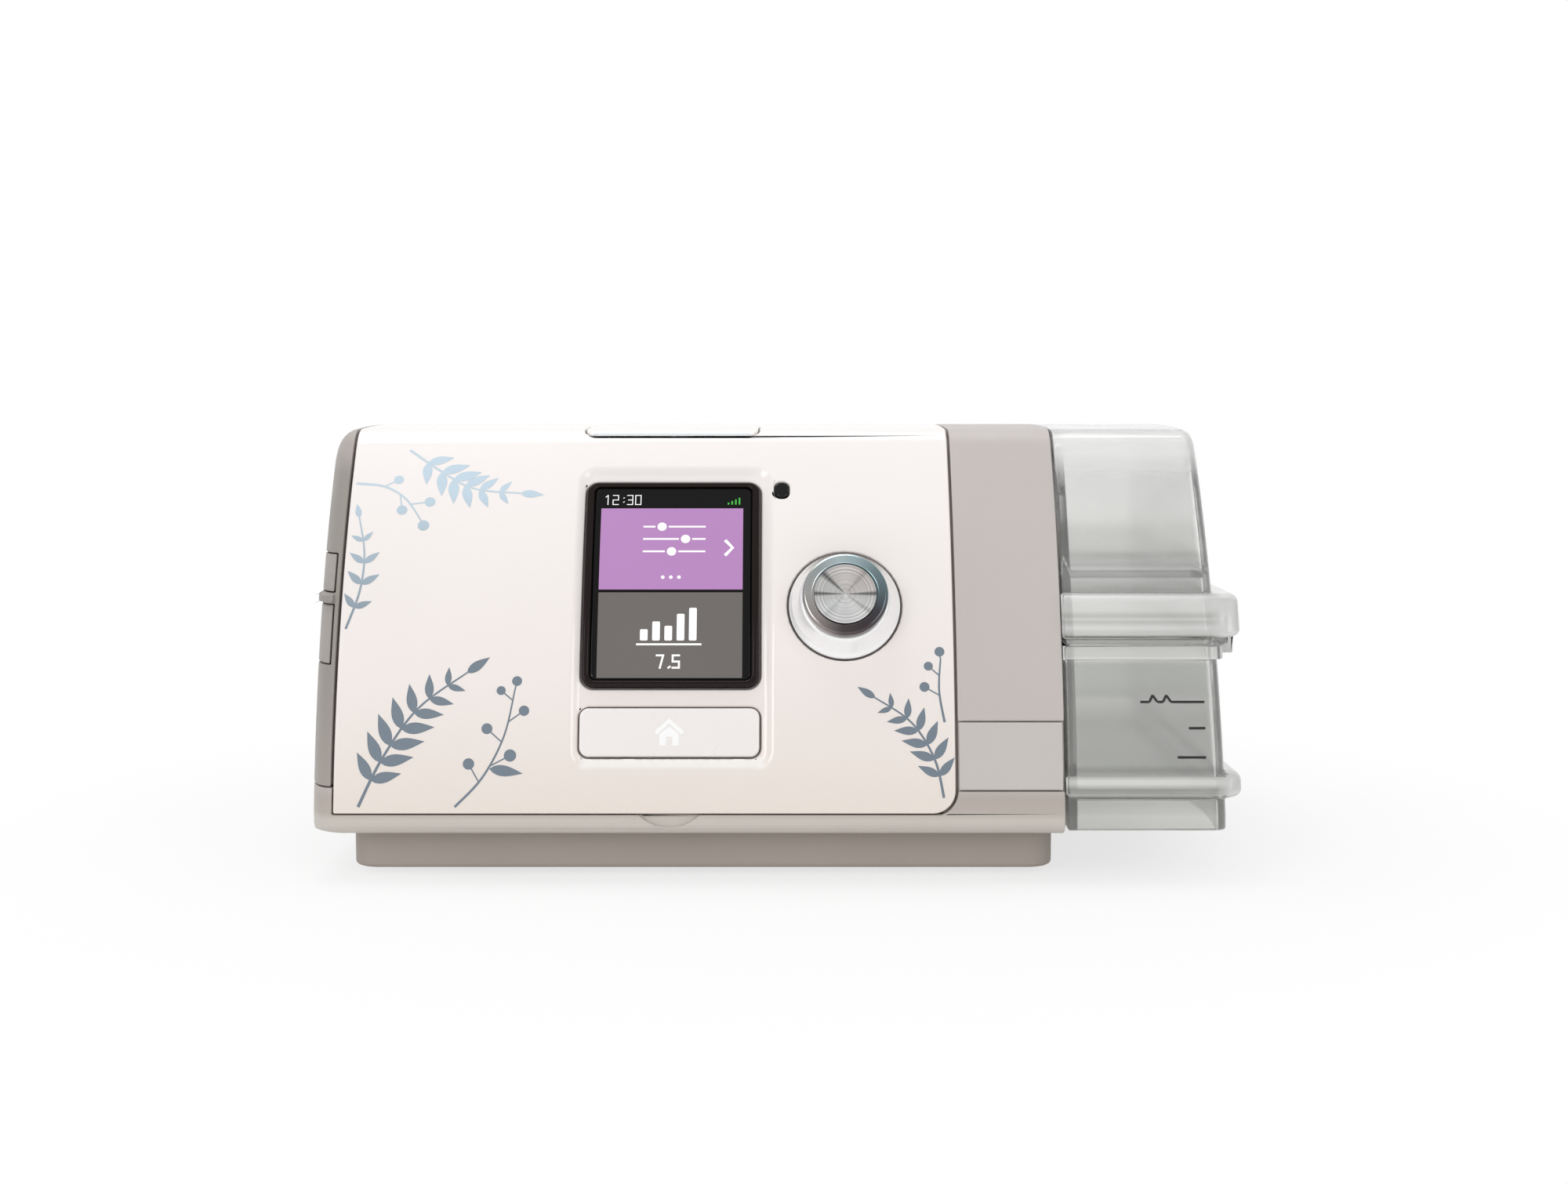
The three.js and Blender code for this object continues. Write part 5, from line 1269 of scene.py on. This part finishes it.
def makeStartButton():
    low = crownLevel - power["sunk"]
    cap = common(topTool(0, low),
                 slab("top", 0, body["back"], body["bottom"], body["flankStart"], body["right"]))
    plan = [(power["x"] + x, power["stemY"] + y) for x, y in roundedOutline(*power["stemPlan"])]
    post = sweepZ("stem", plan, low - power["stem"], low + power["stem"])
    dress(soften(join(cap, post), power["edge"]), "whiteGloss", "start_button", "start_button")
    front = power["y"] - power["deep"] / 2
    x0, x1 = (power["x"] + side * (power["wide"] / 2 - power["line"]["end"]) for side in (-1, 1))
    y0, y1 = front + power["line"]["from"], front + power["line"]["to"]
    line = [(x0, y0), (x1, y0), (x1, y1), (x0, y1)]
    decal("startLine", [line], 0.02, "buttonBlue", "start_button", 1.2, crownSpot)


makeHomeButton()
makeSensor()
makeStartButton()
say("buttons")


# Dial: bright cone, polished dark ring and brushed disc.
def makeDial():
    r, top, high, sunk = dial["radius"], dial["top"], dial["high"], dial["sunk"]
    waist, bore, shaft = high - dial["ringTall"], dial["shaft"] + gap, dial["shaft"] / 2
    foot = [(r + x, y) for x, y in dial["skirtFoot"]]
    (wide, rise), narrow = foot[-1], top + 0.55
    skirt = [(bore, -sunk)] + foot
    for i in range(1, 9):
        share = i / 8
        skirt.append((wide - (wide - narrow) * share ** dial["skirtCurve"],
                      rise + (waist - 0.5 - rise) * share))
    skirt += [(top + 0.3, waist - 0.2), (top, waist), (bore, waist), (bore, -sunk)]
    rounder, edge, floor = dial["ringRound"], dial["disc"] + gap, high - dial["ringDeep"]
    ring = [(shaft, waist + 0.02), (top - 0.25, waist + 0.02), (top, waist + 0.3)]
    ring += arcAt(top - rounder, high - rounder, rounder, 0)
    ring += [(edge + 0.25, high), (edge, high - 0.2), (edge, floor), (shaft, floor), (shaft, waist + 0.02)]
    disc, chamfer, low = dial["disc"], dial["discEdge"], high - dial["discDeep"]
    face = [(0, low), (disc, low), (disc, high - chamfer), (disc - chamfer, high)]
    face += [(disc * (1 - i / 10), high - dial["dish"] * math.sin(math.radians(9 * i)))
             for i in range(1, 11)]
    for name, outline, finish, *nodes in (("dialCone", skirt, "dialCone", "dial_knob"),
                                          ("dialRing", ring, "dialRing"),
                                          ("dialFace", face, "dialBrushed", "dial_disc")):
        turned = placed(turnedMesh(name, outline, dial["sides"]), panelFrame(dial["x"], dial["up"]))
        dress(smooth(turned, dial["creaseAngle"]), finish, "dial", *nodes)


# Polished metal shows bright and dark fans round the dial; these are painted reflections, given here as
# stops round the turn.
def dialSpace(made):
    y, z = panelSpot(dial["up"])
    centre = made.node("ShaderNodeMapping", vector_type="TEXTURE", Vector=made.place,
                       Location=(dial["x"] * mm, y * mm, z * mm),
                       Rotation=(math.radians(90 - panelDegrees(dial["up"])), 0, 0))
    parts = made.node("ShaderNodeSeparateXYZ", centre.outputs["Vector"]).outputs
    flat = made.node("ShaderNodeCombineXYZ", parts["X"], parts["Y"]).outputs["Vector"]
    length = made.node("ShaderNodeVectorMath", flat, operation="LENGTH").outputs["Value"]
    return made.calc("DEGREES", made.calc("ARCTAN2", parts["Y"], parts["X"])), length


# Fine rings left by turning.
def turnedMarks(made, length, scale, detail, low, high, strength, distance):
    marks = made.node("ShaderNodeTexNoise", noise_dimensions="1D", Scale=scale, Detail=detail,
                      W=length).outputs["Fac"]
    made.rough(marks, low, high)
    made.bump(marks, strength, distance)
    return marks


# Direction of the turning marks at each point, square to the dial's axis.
def turnedTangent(made):
    y, z = panelSpot(dial["up"])
    tilt = math.radians(panelDegrees(dial["up"]))
    away = made.node("ShaderNodeVectorMath", made.place, (dial["x"] * mm, y * mm, z * mm),
                     operation="SUBTRACT")
    across = made.node("ShaderNodeVectorMath", (0, -math.cos(tilt), math.sin(tilt)), away.outputs["Vector"],
                       operation="CROSS_PRODUCT")
    turned = made.node("ShaderNodeVectorTransform", across.outputs["Vector"], vector_type="VECTOR",
                       convert_from="OBJECT", convert_to="WORLD")
    made.set(Tangent=turned.outputs["Vector"], Anisotropic=0.7)


def makeBrushed():
    made = Shader("dialBrushed", linear(215, 216, 215), 0.24, 1.0)
    turn, length = dialSpace(made)
    # Painted reflections: bright and dark fans round the disc's turn.
    dark, plain, bright = (112, 113, 114), (240, 240, 238), (255, 255, 255)
    stops = [(-180, dark), (-173, plain), (-140, (246, 248, 247)), (-132, (222, 224, 224)), (-110, bright),
             (-70, bright), (-46, (250, 250, 248)), (-38, (206, 206, 204)), (-30, (252, 251, 249)),
             (-7, plain),
             (0, dark), (7, (244, 238, 236)), (40, (236, 229, 227)), (48, (204, 198, 196)),
             (60, (234, 227, 225)),
             (126, (232, 229, 227)), (136, (116, 116, 116)), (146, plain), (173, plain), (180, dark)]
    marks = turnedMarks(made, length, 2600.0, 3.0, 0.18, 0.32, 0.5, 0.00001)
    shade = made.mix(made.spread(marks, 0, 1), (0.72, 0.72, 0.72), (1.0, 1.0, 1.0))
    made.set(Base_Color=made.mix(1.0, made.ramp(turn, stops), shade, "MULTIPLY"))
    turnedTangent(made)
    return made.material


def makeRingFinish():
    made = Shader("dialRing", linear(120, 126, 131), 0.16, 1.0)
    turn, length = dialSpace(made)
    # Painted reflections: the ring is dark on one side and bright on the other round its turn.
    stops = [(-180, (192, 191, 188)), (-135, (168, 160, 158)), (-95, (96, 88, 89)), (-60, (82, 75, 78)),
             (-30, (84, 84, 88)), (0, (110, 126, 133)), (40, (140, 162, 166)), (75, (188, 210, 215)),
             (100, (206, 224, 228)), (135, (184, 193, 194)), (180, (192, 191, 188))]
    made.shaded(made.ramp(turn, stops))
    turnedMarks(made, length, 5200.0, 2.0, 0.13, 0.2, 0.2, 0.000005)
    return made.material


def makeConeFinish():
    made = Shader("dialCone", linear(250, 251, 251), 0.2, 0.3).set(Coat_Weight=0.4, Coat_Roughness=0.05)
    turn, length = dialSpace(made)
    # Painted reflection and shade: the cone is white round most of its turn, with a painted shade arc over
    # its top.
    pale, white, dark = (240, 240, 239), (255, 255, 255), (104, 98, 94)
    stops = [(-180, white), (-150, white), (-30, white), (0, white), (35, pale), (66, dark), (114, dark),
             (145, pale), (180, white)]
    made.shaded(made.ramp(turn, stops))
    turnedMarks(made, length, 3000.0, 2.0, 0.17, 0.26, 0.15, 0.000004)
    return made.material


add(makeConeFinish())
add(makeRingFinish())
add(makeBrushed())
makeDial()
say("dial")


# Outlet and the wire-formed clip on the back.
def makeOutlet():
    low = bay["back"] - outlet["flangeThick"] + gap
    root = low + outlet["flangeThick"]
    tip = root + outlet["long"]
    bore, thick = outlet["bore"], outlet["tip"] - outlet["bore"]
    flange, pipe, fillet = outlet["flange"], outlet["root"], outlet["fillet"]
    shape = [(bore, low), (flange, low), (flange, root), (pipe + fillet, root), (pipe, root + fillet)]
    for i in range(9):
        turn = math.radians(20 * i)
        shape.append((bore + thick / 2 * (1 + math.cos(turn)), tip - thick / 2 * (1 - math.sin(turn))))
    shape.append((bore, low))
    spout = placed(turnedMesh("airOutlet", shape, 96), towards("y", outlet["x"], 0, outlet["z"]))
    dress(smooth(spout), "outletGrey", "housing", "air_outlet")


def makeClip():
    x0, x1 = inlet["x"] - clip["wide"] / 2, inlet["x"] + clip["wide"] / 2
    w0, w1 = inlet["x"] - clip["window"] / 2, inlet["x"] + clip["window"] / 2
    low = clip["top"] - clip["tall"]
    loop = block("powerClip", x0, x1, clipY, clipY + clip["thick"], low, clip["top"])
    loop = cut(loop, block("window", w0, w1, clipY - over, clipY + 2 * over, low - over,
                           clip["top"] - clip["bar"]))
    loop = join(loop, clipPins(0, clip["pinLong"]))
    dress(soften(loop, clip["edge"]), "clipGrey", "power_clip", "power_clip")


makeOutlet()
makeClip()
say("outlet and clip")


# Water tub: its outer part carries on the body's profile and its inner part fills the bay.
tub = {
    "left": 63.4, "foot": 98.2, "lean": 2, "back": 60, "low": 11.5, "round": 3.2, "innerLeft": 20.6,
    "innerFront": -43, "innerBack": 53, "innerLow": 18, "innerTop": 58, "innerCorner": 5, "split": 52.6,
    "bandTop": 61.9, "bandReach": 4.3, "bandFront": 1.6, "bandEdge": 1.8, "rimLow": 47.9, "rimReach": 0.4,
    "rimOut": 0.5, "beadLow": 18.3, "beadTop": 24.1, "beadReach": 3.4, "beadOut": 0.4, "wall": 2,
    "gasket": 1.2, "gasketIn": 0.5, "gasketEdge": 0.25, "edge": 0.45, "shelfLow": 65, "shelfThick": 1.4,
    "shelfBack": -36, "portBore": 7, "plateThick": 0.9, "bandStep": 0.06, "bandRound": 3.4,
}
heater = {"left": 22, "right": 58, "front": -24, "back": 34, "corner": 6}
latch = {"front": -56, "wide": 16, "low": 48.3, "thick": 2, "hook": 1.4}
hinge = {"pin": 1.2, "radius": 2.1, "long": 7.2, "offset": 2.4}
gasketTop = tub["split"] - gap
rimTop = gasketTop - tub["gasket"] - gap
tubDraft = tub["lean"] / (crownLevel - tub["low"])


def tubBlock(name, inset, side, rounding, back, left, low, high):
    def section(x, amount, lean):
        return [(x - lean * (z - tub["low"]), y, z) for y, z in profile(amount, back, tub["low"], 0.7)]
    sections = [section(left, inset, 0)]
    for inwards, along in quarterRound(8):
        sections.append(section(side - rounding * inwards, inset + rounding * along, tubDraft))
    reach = block("reach", left, side + over, body["front"] - 2 * over, body["back"] + over, low, high)
    return common(loft(name, sections), reach)


def tubRoom(name, inset, low, high):
    return tubBlock(name, inset, tub["foot"] - inset, tub["round"] - inset, tub["back"],
                    tub["left"] + inset, low, high)


frontOutline = profile(0, tub["back"], tub["low"], 0.7)


def frontAt(level):
    for (y0, z0), (y1, z1) in zip(frontOutline, frontOutline[1:]):
        if z0 <= level <= z1 and y1 < 0:
            return y0 + (y1 - y0) * (level - z0) / max(z1 - z0, 1e-6)
    return frontOutline[0][0]


# What stands out from the tub's walls, its band, rim and bead, is milkier than they are, and its finish
# carries painted highlight and shade lines and a painted highlight on the band's right end.
def milkyWithPaintedLight(piece, *spans, least=0.02):
    piece.data.materials.append(finishes["tubMilkAndPaintedLight"])
    for face in piece.data.polygons:
        x, y, z = (piece.matrix_world @ face.center) / mm
        out = y < frontAt(z) - least or x > tub["foot"] - tubDraft * (z - tub["low"]) + least
        if out and any(low - least < z < high + least for low, high in spans):
            face.material_index = 1


# A band round the tub whose two long edges are rounded, laid up level by level.
def tubBand(name, out, side, low, high, edge=0.0, steps=6, fine=6):
    rounding = [(edge * inwards, edge * along) for inwards, along in quarterRound(steps)]
    levels = [(low + along, inset) for inset, along in rounding]
    levels += [(high - along, inset) for inset, along in rounding[::-1]]
    sections = []
    for level, inset in levels:
        near, far = frontAt(level) - out + inset, tub["back"] + out - inset
        right, corner = side - inset, tub["bandRound"]
        outline = [(tub["left"] + tub["bandStep"], far), (tub["left"] + tub["bandStep"], near)]
        for centreY, start in ((near + corner, 270), (far - corner, 0)):
            outline += arcAt(right - corner, centreY, corner, start, 90, fine)
        sections.append([(x, y, level) for x, y in outline])
    wall, half = tub["wall"], tub["wall"] / 2
    return cut(loft(name, sections),
               tubBlock("hollow", half, tub["foot"] - half, tub["round"] - half, tub["back"],
                                              tub["left"] - wall, low - over, high + over))


def tubInner(name, inset, low, high, far=tub["left"] + 2):
    corner = tub["innerCorner"] - inset
    x0, y0, y1 = tub["innerLeft"] + inset, tub["innerFront"] + inset, tub["innerBack"] - inset
    points = [(far, y0), (far, y1)]
    points += arcAt(x0 + corner, y1 - corner, corner, 90) + arcAt(x0 + corner, y0 + corner, corner, 180)
    return sweepZ(name, points, low, high)


hingeX = tub["innerLeft"] - hinge["offset"]
hingeZ = tub["split"] - gap
hingeNear = tub["innerFront"] + 2 * tub["innerCorner"]
hingeFar = tub["innerBack"] - 2 * tub["innerCorner"]
knuckleSpots = {"base": [hingeNear, hingeFar - hinge["long"]],
                "lid": [hingeNear + hinge["long"] + gap, hingeFar - 2 * hinge["long"] - gap]}


# Each knuckle is a web that wraps the pin, its flanks tangent to the round.
def knuckles(spots, low, high):
    radius, away = hinge["radius"], tub["innerLeft"] + gap - hingeX
    below, above = low - hingeZ, high - hingeZ
    rise = math.degrees(math.atan2(above, away) + math.acos(radius / math.hypot(away, above)))
    fall = math.degrees(math.atan2(below, away) - math.acos(radius / math.hypot(away, below))) + 360
    outline = [(away, below), (away, above)] + arcAt(0, 0, radius, rise, fall - rise, 14)
    made = []
    for y in spots:
        ends = (y, y + hinge["long"])
        web = loft("knuckle", [[(hingeX + x, along, hingeZ + z) for x, z in outline] for along in ends])
        bore = drum("bore", hinge["pin"] + gap / 2, ends[0] - over, ends[1] + over, 32)
        made.append(cut(web, placed(bore, towards("y", hingeX, 0, hingeZ))))
    return made


def heaterPlan(grow):
    return roundedPlan(heater, grow, grow, heater["corner"])


# The outer and the inner room's hollow between two heights, which in the lid end at different ones.
def tubHollows(low, high, innerHigh=None):
    wall = tub["wall"]
    inner = tubInner("innerRoom", wall, low, innerHigh or high, tub["left"] + wall + over)
    return tubRoom("room", wall, low, high), inner


def makeTubBase():
    wall = tub["wall"]
    shell = tubBlock("tubBase", 0, tub["foot"], tub["round"], tub["back"], tub["left"], tub["low"], rimTop)
    shell = join(
        shell,
        tubBand("bead", tub["beadOut"], tub["foot"] + tub["beadReach"], tub["beadLow"], tub["beadTop"],
                2.1),
        tubBand("rim", tub["rimOut"], tub["foot"] + tub["rimReach"], tub["rimLow"], rimTop, 0.3),
        tubInner("inner", 0, tub["innerLow"], rimTop),
        *knuckles(knuckleSpots["base"], tub["rimLow"] - hinge["offset"], rimTop - gap),
    )
    outer, inner = tubHollows(tub["innerLow"] + wall, rimTop + over)
    shell = cut(
        shell,
        outer,
        tubRoom("under", wall, tub["low"] - over, tub["innerLow"]),
        inner,
        sweepZ("seat", heaterPlan(-0.9), tub["innerLow"] - over, tub["innerLow"] + tub["plateThick"] + gap),
        sweepZ("window", heaterPlan(-3.2), tub["innerLow"], tub["innerLow"] + wall + over),
    )
    milkyWithPaintedLight(dress(soften(shell, tub["edge"], angle=40, widest=4), "tubClear", "tub", "tub_base"),
          (tub["beadLow"], tub["beadTop"]), (tub["rimLow"], rimTop))


def latchHook():
    side = tub["foot"] + tub["bandReach"]
    y0, y1 = latch["front"], latch["front"] + latch["wide"]
    arm = block("arm", side - latch["thick"], side - gap, y0, y1, latch["low"], tub["split"] + 2)
    catch = block("catch", side - latch["thick"] - latch["hook"], side - latch["thick"] + gap, y0, y1,
                  latch["low"], latch["low"] + latch["thick"])
    return join(arm, catch)


def makeTubLid():
    wall, top = tub["wall"], farTop
    shell = tubBlock("tubLid", 0, tub["foot"], tub["round"], tub["back"], tub["left"], tub["split"], top)
    shell = join(
        shell,
        tubBand("band", tub["bandFront"], tub["foot"] + tub["bandReach"], tub["split"], tub["bandTop"],
                tub["bandEdge"]),
        tubInner("inner", 0, tub["split"], tub["innerTop"]),
        latchHook(),
        *knuckles(knuckleSpots["lid"], tub["split"] + gap, tub["innerTop"] - gap),
    )
    shell = cut(
        shell,
        *tubHollows(tub["split"] - over, top, tub["innerTop"] - wall),
        *[placed(drum("way", tub["portBore"], -over, wall + over, 64),
                 towards("x", tub["left"], y, port["z"]))
          for y in (port["inY"], port["outY"])],
    )
    low, thick = tub["shelfLow"], tub["shelfThick"]
    shelf = common(tubBlock("shelf", 0.2, tub["foot"] - 0.2, tub["round"], tub["back"], tub["left"] + 0.2,
                            low, low + thick),
                   block("front", tub["left"], tub["foot"], body["front"] - over, tub["shelfBack"],
                         low - over, low + 2 * over))
    milkyWithPaintedLight(dress(soften(join(shell, shelf), tub["edge"], angle=40, widest=4), "tubClear", "tub_lid",
                "tub_lid"),
          (latch["low"], tub["bandTop"]))


def makeTubSeal():
    low, inset = gasketTop - tub["gasket"], tub["gasketIn"]
    band = join(tubRoom("tubSeal", inset, low, gasketTop), tubInner("inner", inset, low, gasketTop))
    band = cut(band, *tubHollows(low - over, gasketTop + over))
    dress(soften(band, tub["gasketEdge"], 2, 40, 4), "sealClear", "tub_lid", "tub_seal")


def bar(x0, x1, up, tall=0.55):
    return rectangle(x0, x1, up - tall / 2, up + tall / 2)


def makeLevelMarks():
    ripple = [(79.6, 24.5), (81.6, 24.5), (82.3, 26), (83.3, 24.5), (84.6, 24.5), (85.3, 26), (86.3, 24.5),
              (93.6, 24.5)]
    strokes = [stroke([a, b], 0.55) for a, b in zip(ripple, ripple[1:])]
    decal("levelMarks", strokes + [bar(90, 93.6, 18.7), bar(87.4, 93.6, 12.3)], 0.03, "markBlack", "tub")


makeTubBase()
makeTubLid()
makeTubSeal()
makeLevelMarks()
say("water tub")


# Printed sprigs, ferns and berries: slate low on the cover and pale blue towards its top.
def leaf(x, up, degrees, long, wide, steps=8):
    turn = math.radians(degrees)
    ahead, across = (math.cos(turn), math.sin(turn)), (-math.sin(turn), math.cos(turn))
    side = []
    for i in range(steps + 1):
        share = i / steps
        half = wide / 2 * math.sin(math.pi * share ** 0.8) * (1 - 0.25 * share)
        side.append((share * long, half))
    spots = side + [(a, -b) for a, b in side[-2:0:-1]]
    return [(x + a * ahead[0] + b * across[0], up + a * ahead[1] + b * across[1]) for a, b in spots]


def curve(knots, steps=7):
    def between(p, q, r, s, t):
        square, cube = 2 * p - 5 * q + 4 * r - s, 3 * q - p - 3 * r + s
        return 0.5 * (2 * q + (r - p) * t + square * t * t + cube * t ** 3)
    points = []
    ends = [knots[0]] + knots + [knots[-1]]
    for near in zip(ends, ends[1:], ends[2:], ends[3:]):
        points += [tuple(between(*levels, i / steps) for levels in zip(*near)) for i in range(steps)]
    return points + [knots[-1]]


def stem(points, first, last):
    shapes = []
    for i, (a, b) in enumerate(zip(points, points[1:])):
        wide = first + (last - first) * i / len(points)
        shapes.append(stroke([a, b], wide))
        shapes.append(disc(*b, wide / 2, 8))
    return shapes


def fern(knots, pairs, long, wide, thick=(0.7, 0.3), spread=52):
    points = curve(knots)
    shapes = stem(points, *thick)
    for i in range(pairs):
        share = 0.2 + 0.76 * i / pairs
        at = share * (len(points) - 1)
        index = min(int(at), len(points) - 2)
        (x0, y0), (x1, y1) = points[index], points[index + 1]
        x, y = x0 + (x1 - x0) * (at - index), y0 + (y1 - y0) * (at - index)
        way = math.degrees(math.atan2(y1 - y0, x1 - x0))
        size = math.sin(math.pi * (0.22 + 0.7 * share))
        for side in (-1, 1):
            shapes.append(leaf(x, y, way + side * spread, long * size, wide * size))
    (x0, y0), (x1, y1) = points[-2], points[-1]
    shapes.append(leaf(x1, y1, math.degrees(math.atan2(y1 - y0, x1 - x0)), long * 0.8, wide * 0.8))
    return shapes


def berries(knots, twigs, thick=(0.55, 0.3)):
    points = curve(knots)
    shapes = stem(points, *thick)
    for share, degrees, long, radius in twigs:
        x, y = points[round(share * (len(points) - 1))]
        turn = math.radians(degrees)
        tip = (x + long * math.cos(turn), y + long * math.sin(turn))
        shapes.append(stroke([(x, y), tip], 0.3))
        shapes.append(disc(*tip, radius, 20))
    return shapes


def makePrint():
    shapes = fern([(-91, 1.5), (-86, 12), (-78.5, 23), (-68, 31)], 7, 7.6, 3)
    shapes += berries([(-70, 1.5), (-64, 8), (-59.5, 17), (-57.4, 27)], [
        (0.3, 120, 4.6, 1.25), (0.45, 28, 5, 1.35), (0.62, 138, 4.4, 1.2), (0.76, 36, 4.2, 1.15),
        (0.9, 140, 3.4, 1), (1, 78, 2.2, 1.1)])
    shapes += [leaf(-62.6, 9.8, -8, 7.4, 2.7)]
    shapes += fern([(-95.2, 41), (-92.6, 50), (-92.2, 59), (-94, 68)], 4, 4.6, 1.9, (0.55, 0.3))
    shapes += fern([(-84, 86.2), (-76, 80), (-68.5, 75.6), (-58, 74.4)], 6, 6.6, 2.7, (0.55, 0.3))
    shapes += berries([(-95.4, 77), (-89, 76.2), (-84, 73), (-80.4, 67.8)], [
        (0.35, 30, 3.6, 1.1), (0.55, -80, 4.2, 1.2), (0.75, 8, 4.4, 1.2), (1, -62, 2, 1.3)])
    shapes += fern([(36.4, 3.5), (34.4, 12), (29.4, 20), (21.6, 25.4)], 6, 5.8, 2.3, (0.6, 0.3))
    shapes += berries([(36.7, 20), (35.6, 27), (36, 34)],
                      [(0.4, 150, 3.8, 1.1), (0.7, 138, 3.2, 1), (1, 96, 1.8, 1.1)])
    decal("floralPrint", shapes, 0.025, "printInk")


def makePrintInk():
    made = Shader("printInk", linear(118, 130, 141), 0.34)
    made.tone(made.between(made.axis("Z"), 0.05, 0.084), linear(116, 129, 141), linear(196, 215, 228))
    made.rough(made.noise(300, 3), 0.28, 0.42)
    made.bump(made.noise(1200, 2), 0.2, 0.000003)
    return made.material


add(makePrintInk())
makePrint()
say("print")


# Stage: camera at the photograph's place, pale floor and backdrop, soft lamps.
stage = {"lens": 54, "height": 107.8, "away": -579.9, "side": 1.6, "tilt": 85, "world": 0.62,
         "floorFront": -2400, "floorBack": 900, "floorHalf": 3000, "bend": 600, "wallTop": 2600,
         "shadowNear": 0.09, "shadowFar": 0.21, "shadowGlow": 0.72}


def makeCamera():
    camera = linked("camera", bpy.data.cameras.new("camera"))
    camera.data.lens = stage["lens"]
    camera.data.sensor_width = 36
    camera.location = (stage["side"] * mm, stage["away"] * mm, stage["height"] * mm)
    camera.rotation_euler = (math.radians(stage["tilt"]), 0, 0)
    camera.data.clip_start = 0.01
    bpy.context.scene.camera = camera


# The floor curves up into the backdrop. Where it is seen it glows, less so near the machine, so that
# the shadow stays.
def makeFloor():
    deep, bend, half = stage["floorBack"], stage["bend"], stage["floorHalf"]
    turns = [math.radians(10 * i) for i in range(1, 10)]
    curve = [(deep + bend * math.sin(t), bend - bend * math.cos(t)) for t in turns]
    outline = [(stage["floorFront"], 0), (deep, 0)] + curve + [(deep + bend, stage["wallTop"])]
    points = [(x, y, z) for y, z in outline for x in (-half, half)]
    faces = [(i, i + 1, i + 3, i + 2) for i in range(0, len(points) - 2, 2)]
    sweep = makeMesh("floor", points, faces)
    if any(face.center.z < 0.001 and face.normal.z < 0 for face in sweep.data.polygons):
        sweep.data.flip_normals()
    shadeSmooth(sweep.data)
    paper = Shader("paper", (0.86, 0.86, 0.86), 0.9)
    ray = paper.node("ShaderNodeLightPath").outputs
    seen = paper.calc("MAXIMUM", ray["Is Camera Ray"], ray["Is Glossy Ray"])
    seen = paper.calc("MAXIMUM", seen, ray["Is Transmission Ray"])
    away = paper.node("ShaderNodeVectorMath", paper.place, operation="LENGTH").outputs["Value"]
    fade = paper.between(away, stage["shadowNear"], stage["shadowFar"], stage["shadowGlow"], 1.0)
    share = paper.calc("MULTIPLY", fade, seen)
    glow = paper.node("ShaderNodeEmission", Strength=1.0).outputs["Emission"]
    paper.blendInto("Material Output", share, paper.surface.outputs["BSDF"], glow)
    sweep.data.materials.append(paper.material)


def makeWorld():
    world = bpy.data.worlds.new("studio")
    bpy.context.scene.world = world
    net = Network(world)
    fill = net.nodes["Background"]
    net.put((1, 1, 1, 1), fill.inputs["Color"])
    net.put(stage["world"], fill.inputs["Strength"])
    white = net.node("ShaderNodeBackground", (1, 1, 1, 1), 1.0)
    ray = net.node("ShaderNodeLightPath").outputs
    seen = net.calc("MAXIMUM", ray["Is Camera Ray"], ray["Is Transmission Ray"])
    net.blendInto("World Output", seen, fill.outputs["Background"], white.outputs["Background"])


def makeLamp(name, spot, aim, wide, tall, watts):
    lamp = bpy.data.lights.new(name, "AREA")
    lamp.shape = "RECTANGLE"
    lamp.size, lamp.size_y = wide * mm, tall * mm
    lamp.energy = watts
    holder = linked(name, lamp)
    holder.location = Vector(spot) * mm
    holder.rotation_euler = (Vector(aim) * mm - holder.location).to_track_quat("-Z", "Y").to_euler()


makeCamera()
makeFloor()
makeWorld()
makeLamp("lampTop", (-200, 250, 1100), (0, 0, 40), 900, 700, 5)
makeLamp("lampLeft", (-640, -1000, 560), (0, 0, 50), 360, 600, 2.7)
makeLamp("lampRight", (640, -950, 520), (0, 0, 50), 360, 600, 2)
say("stage")
finishPlainNodes()
dropped(bodyMaster)

bpy.context.scene.view_settings.view_transform = "Standard"
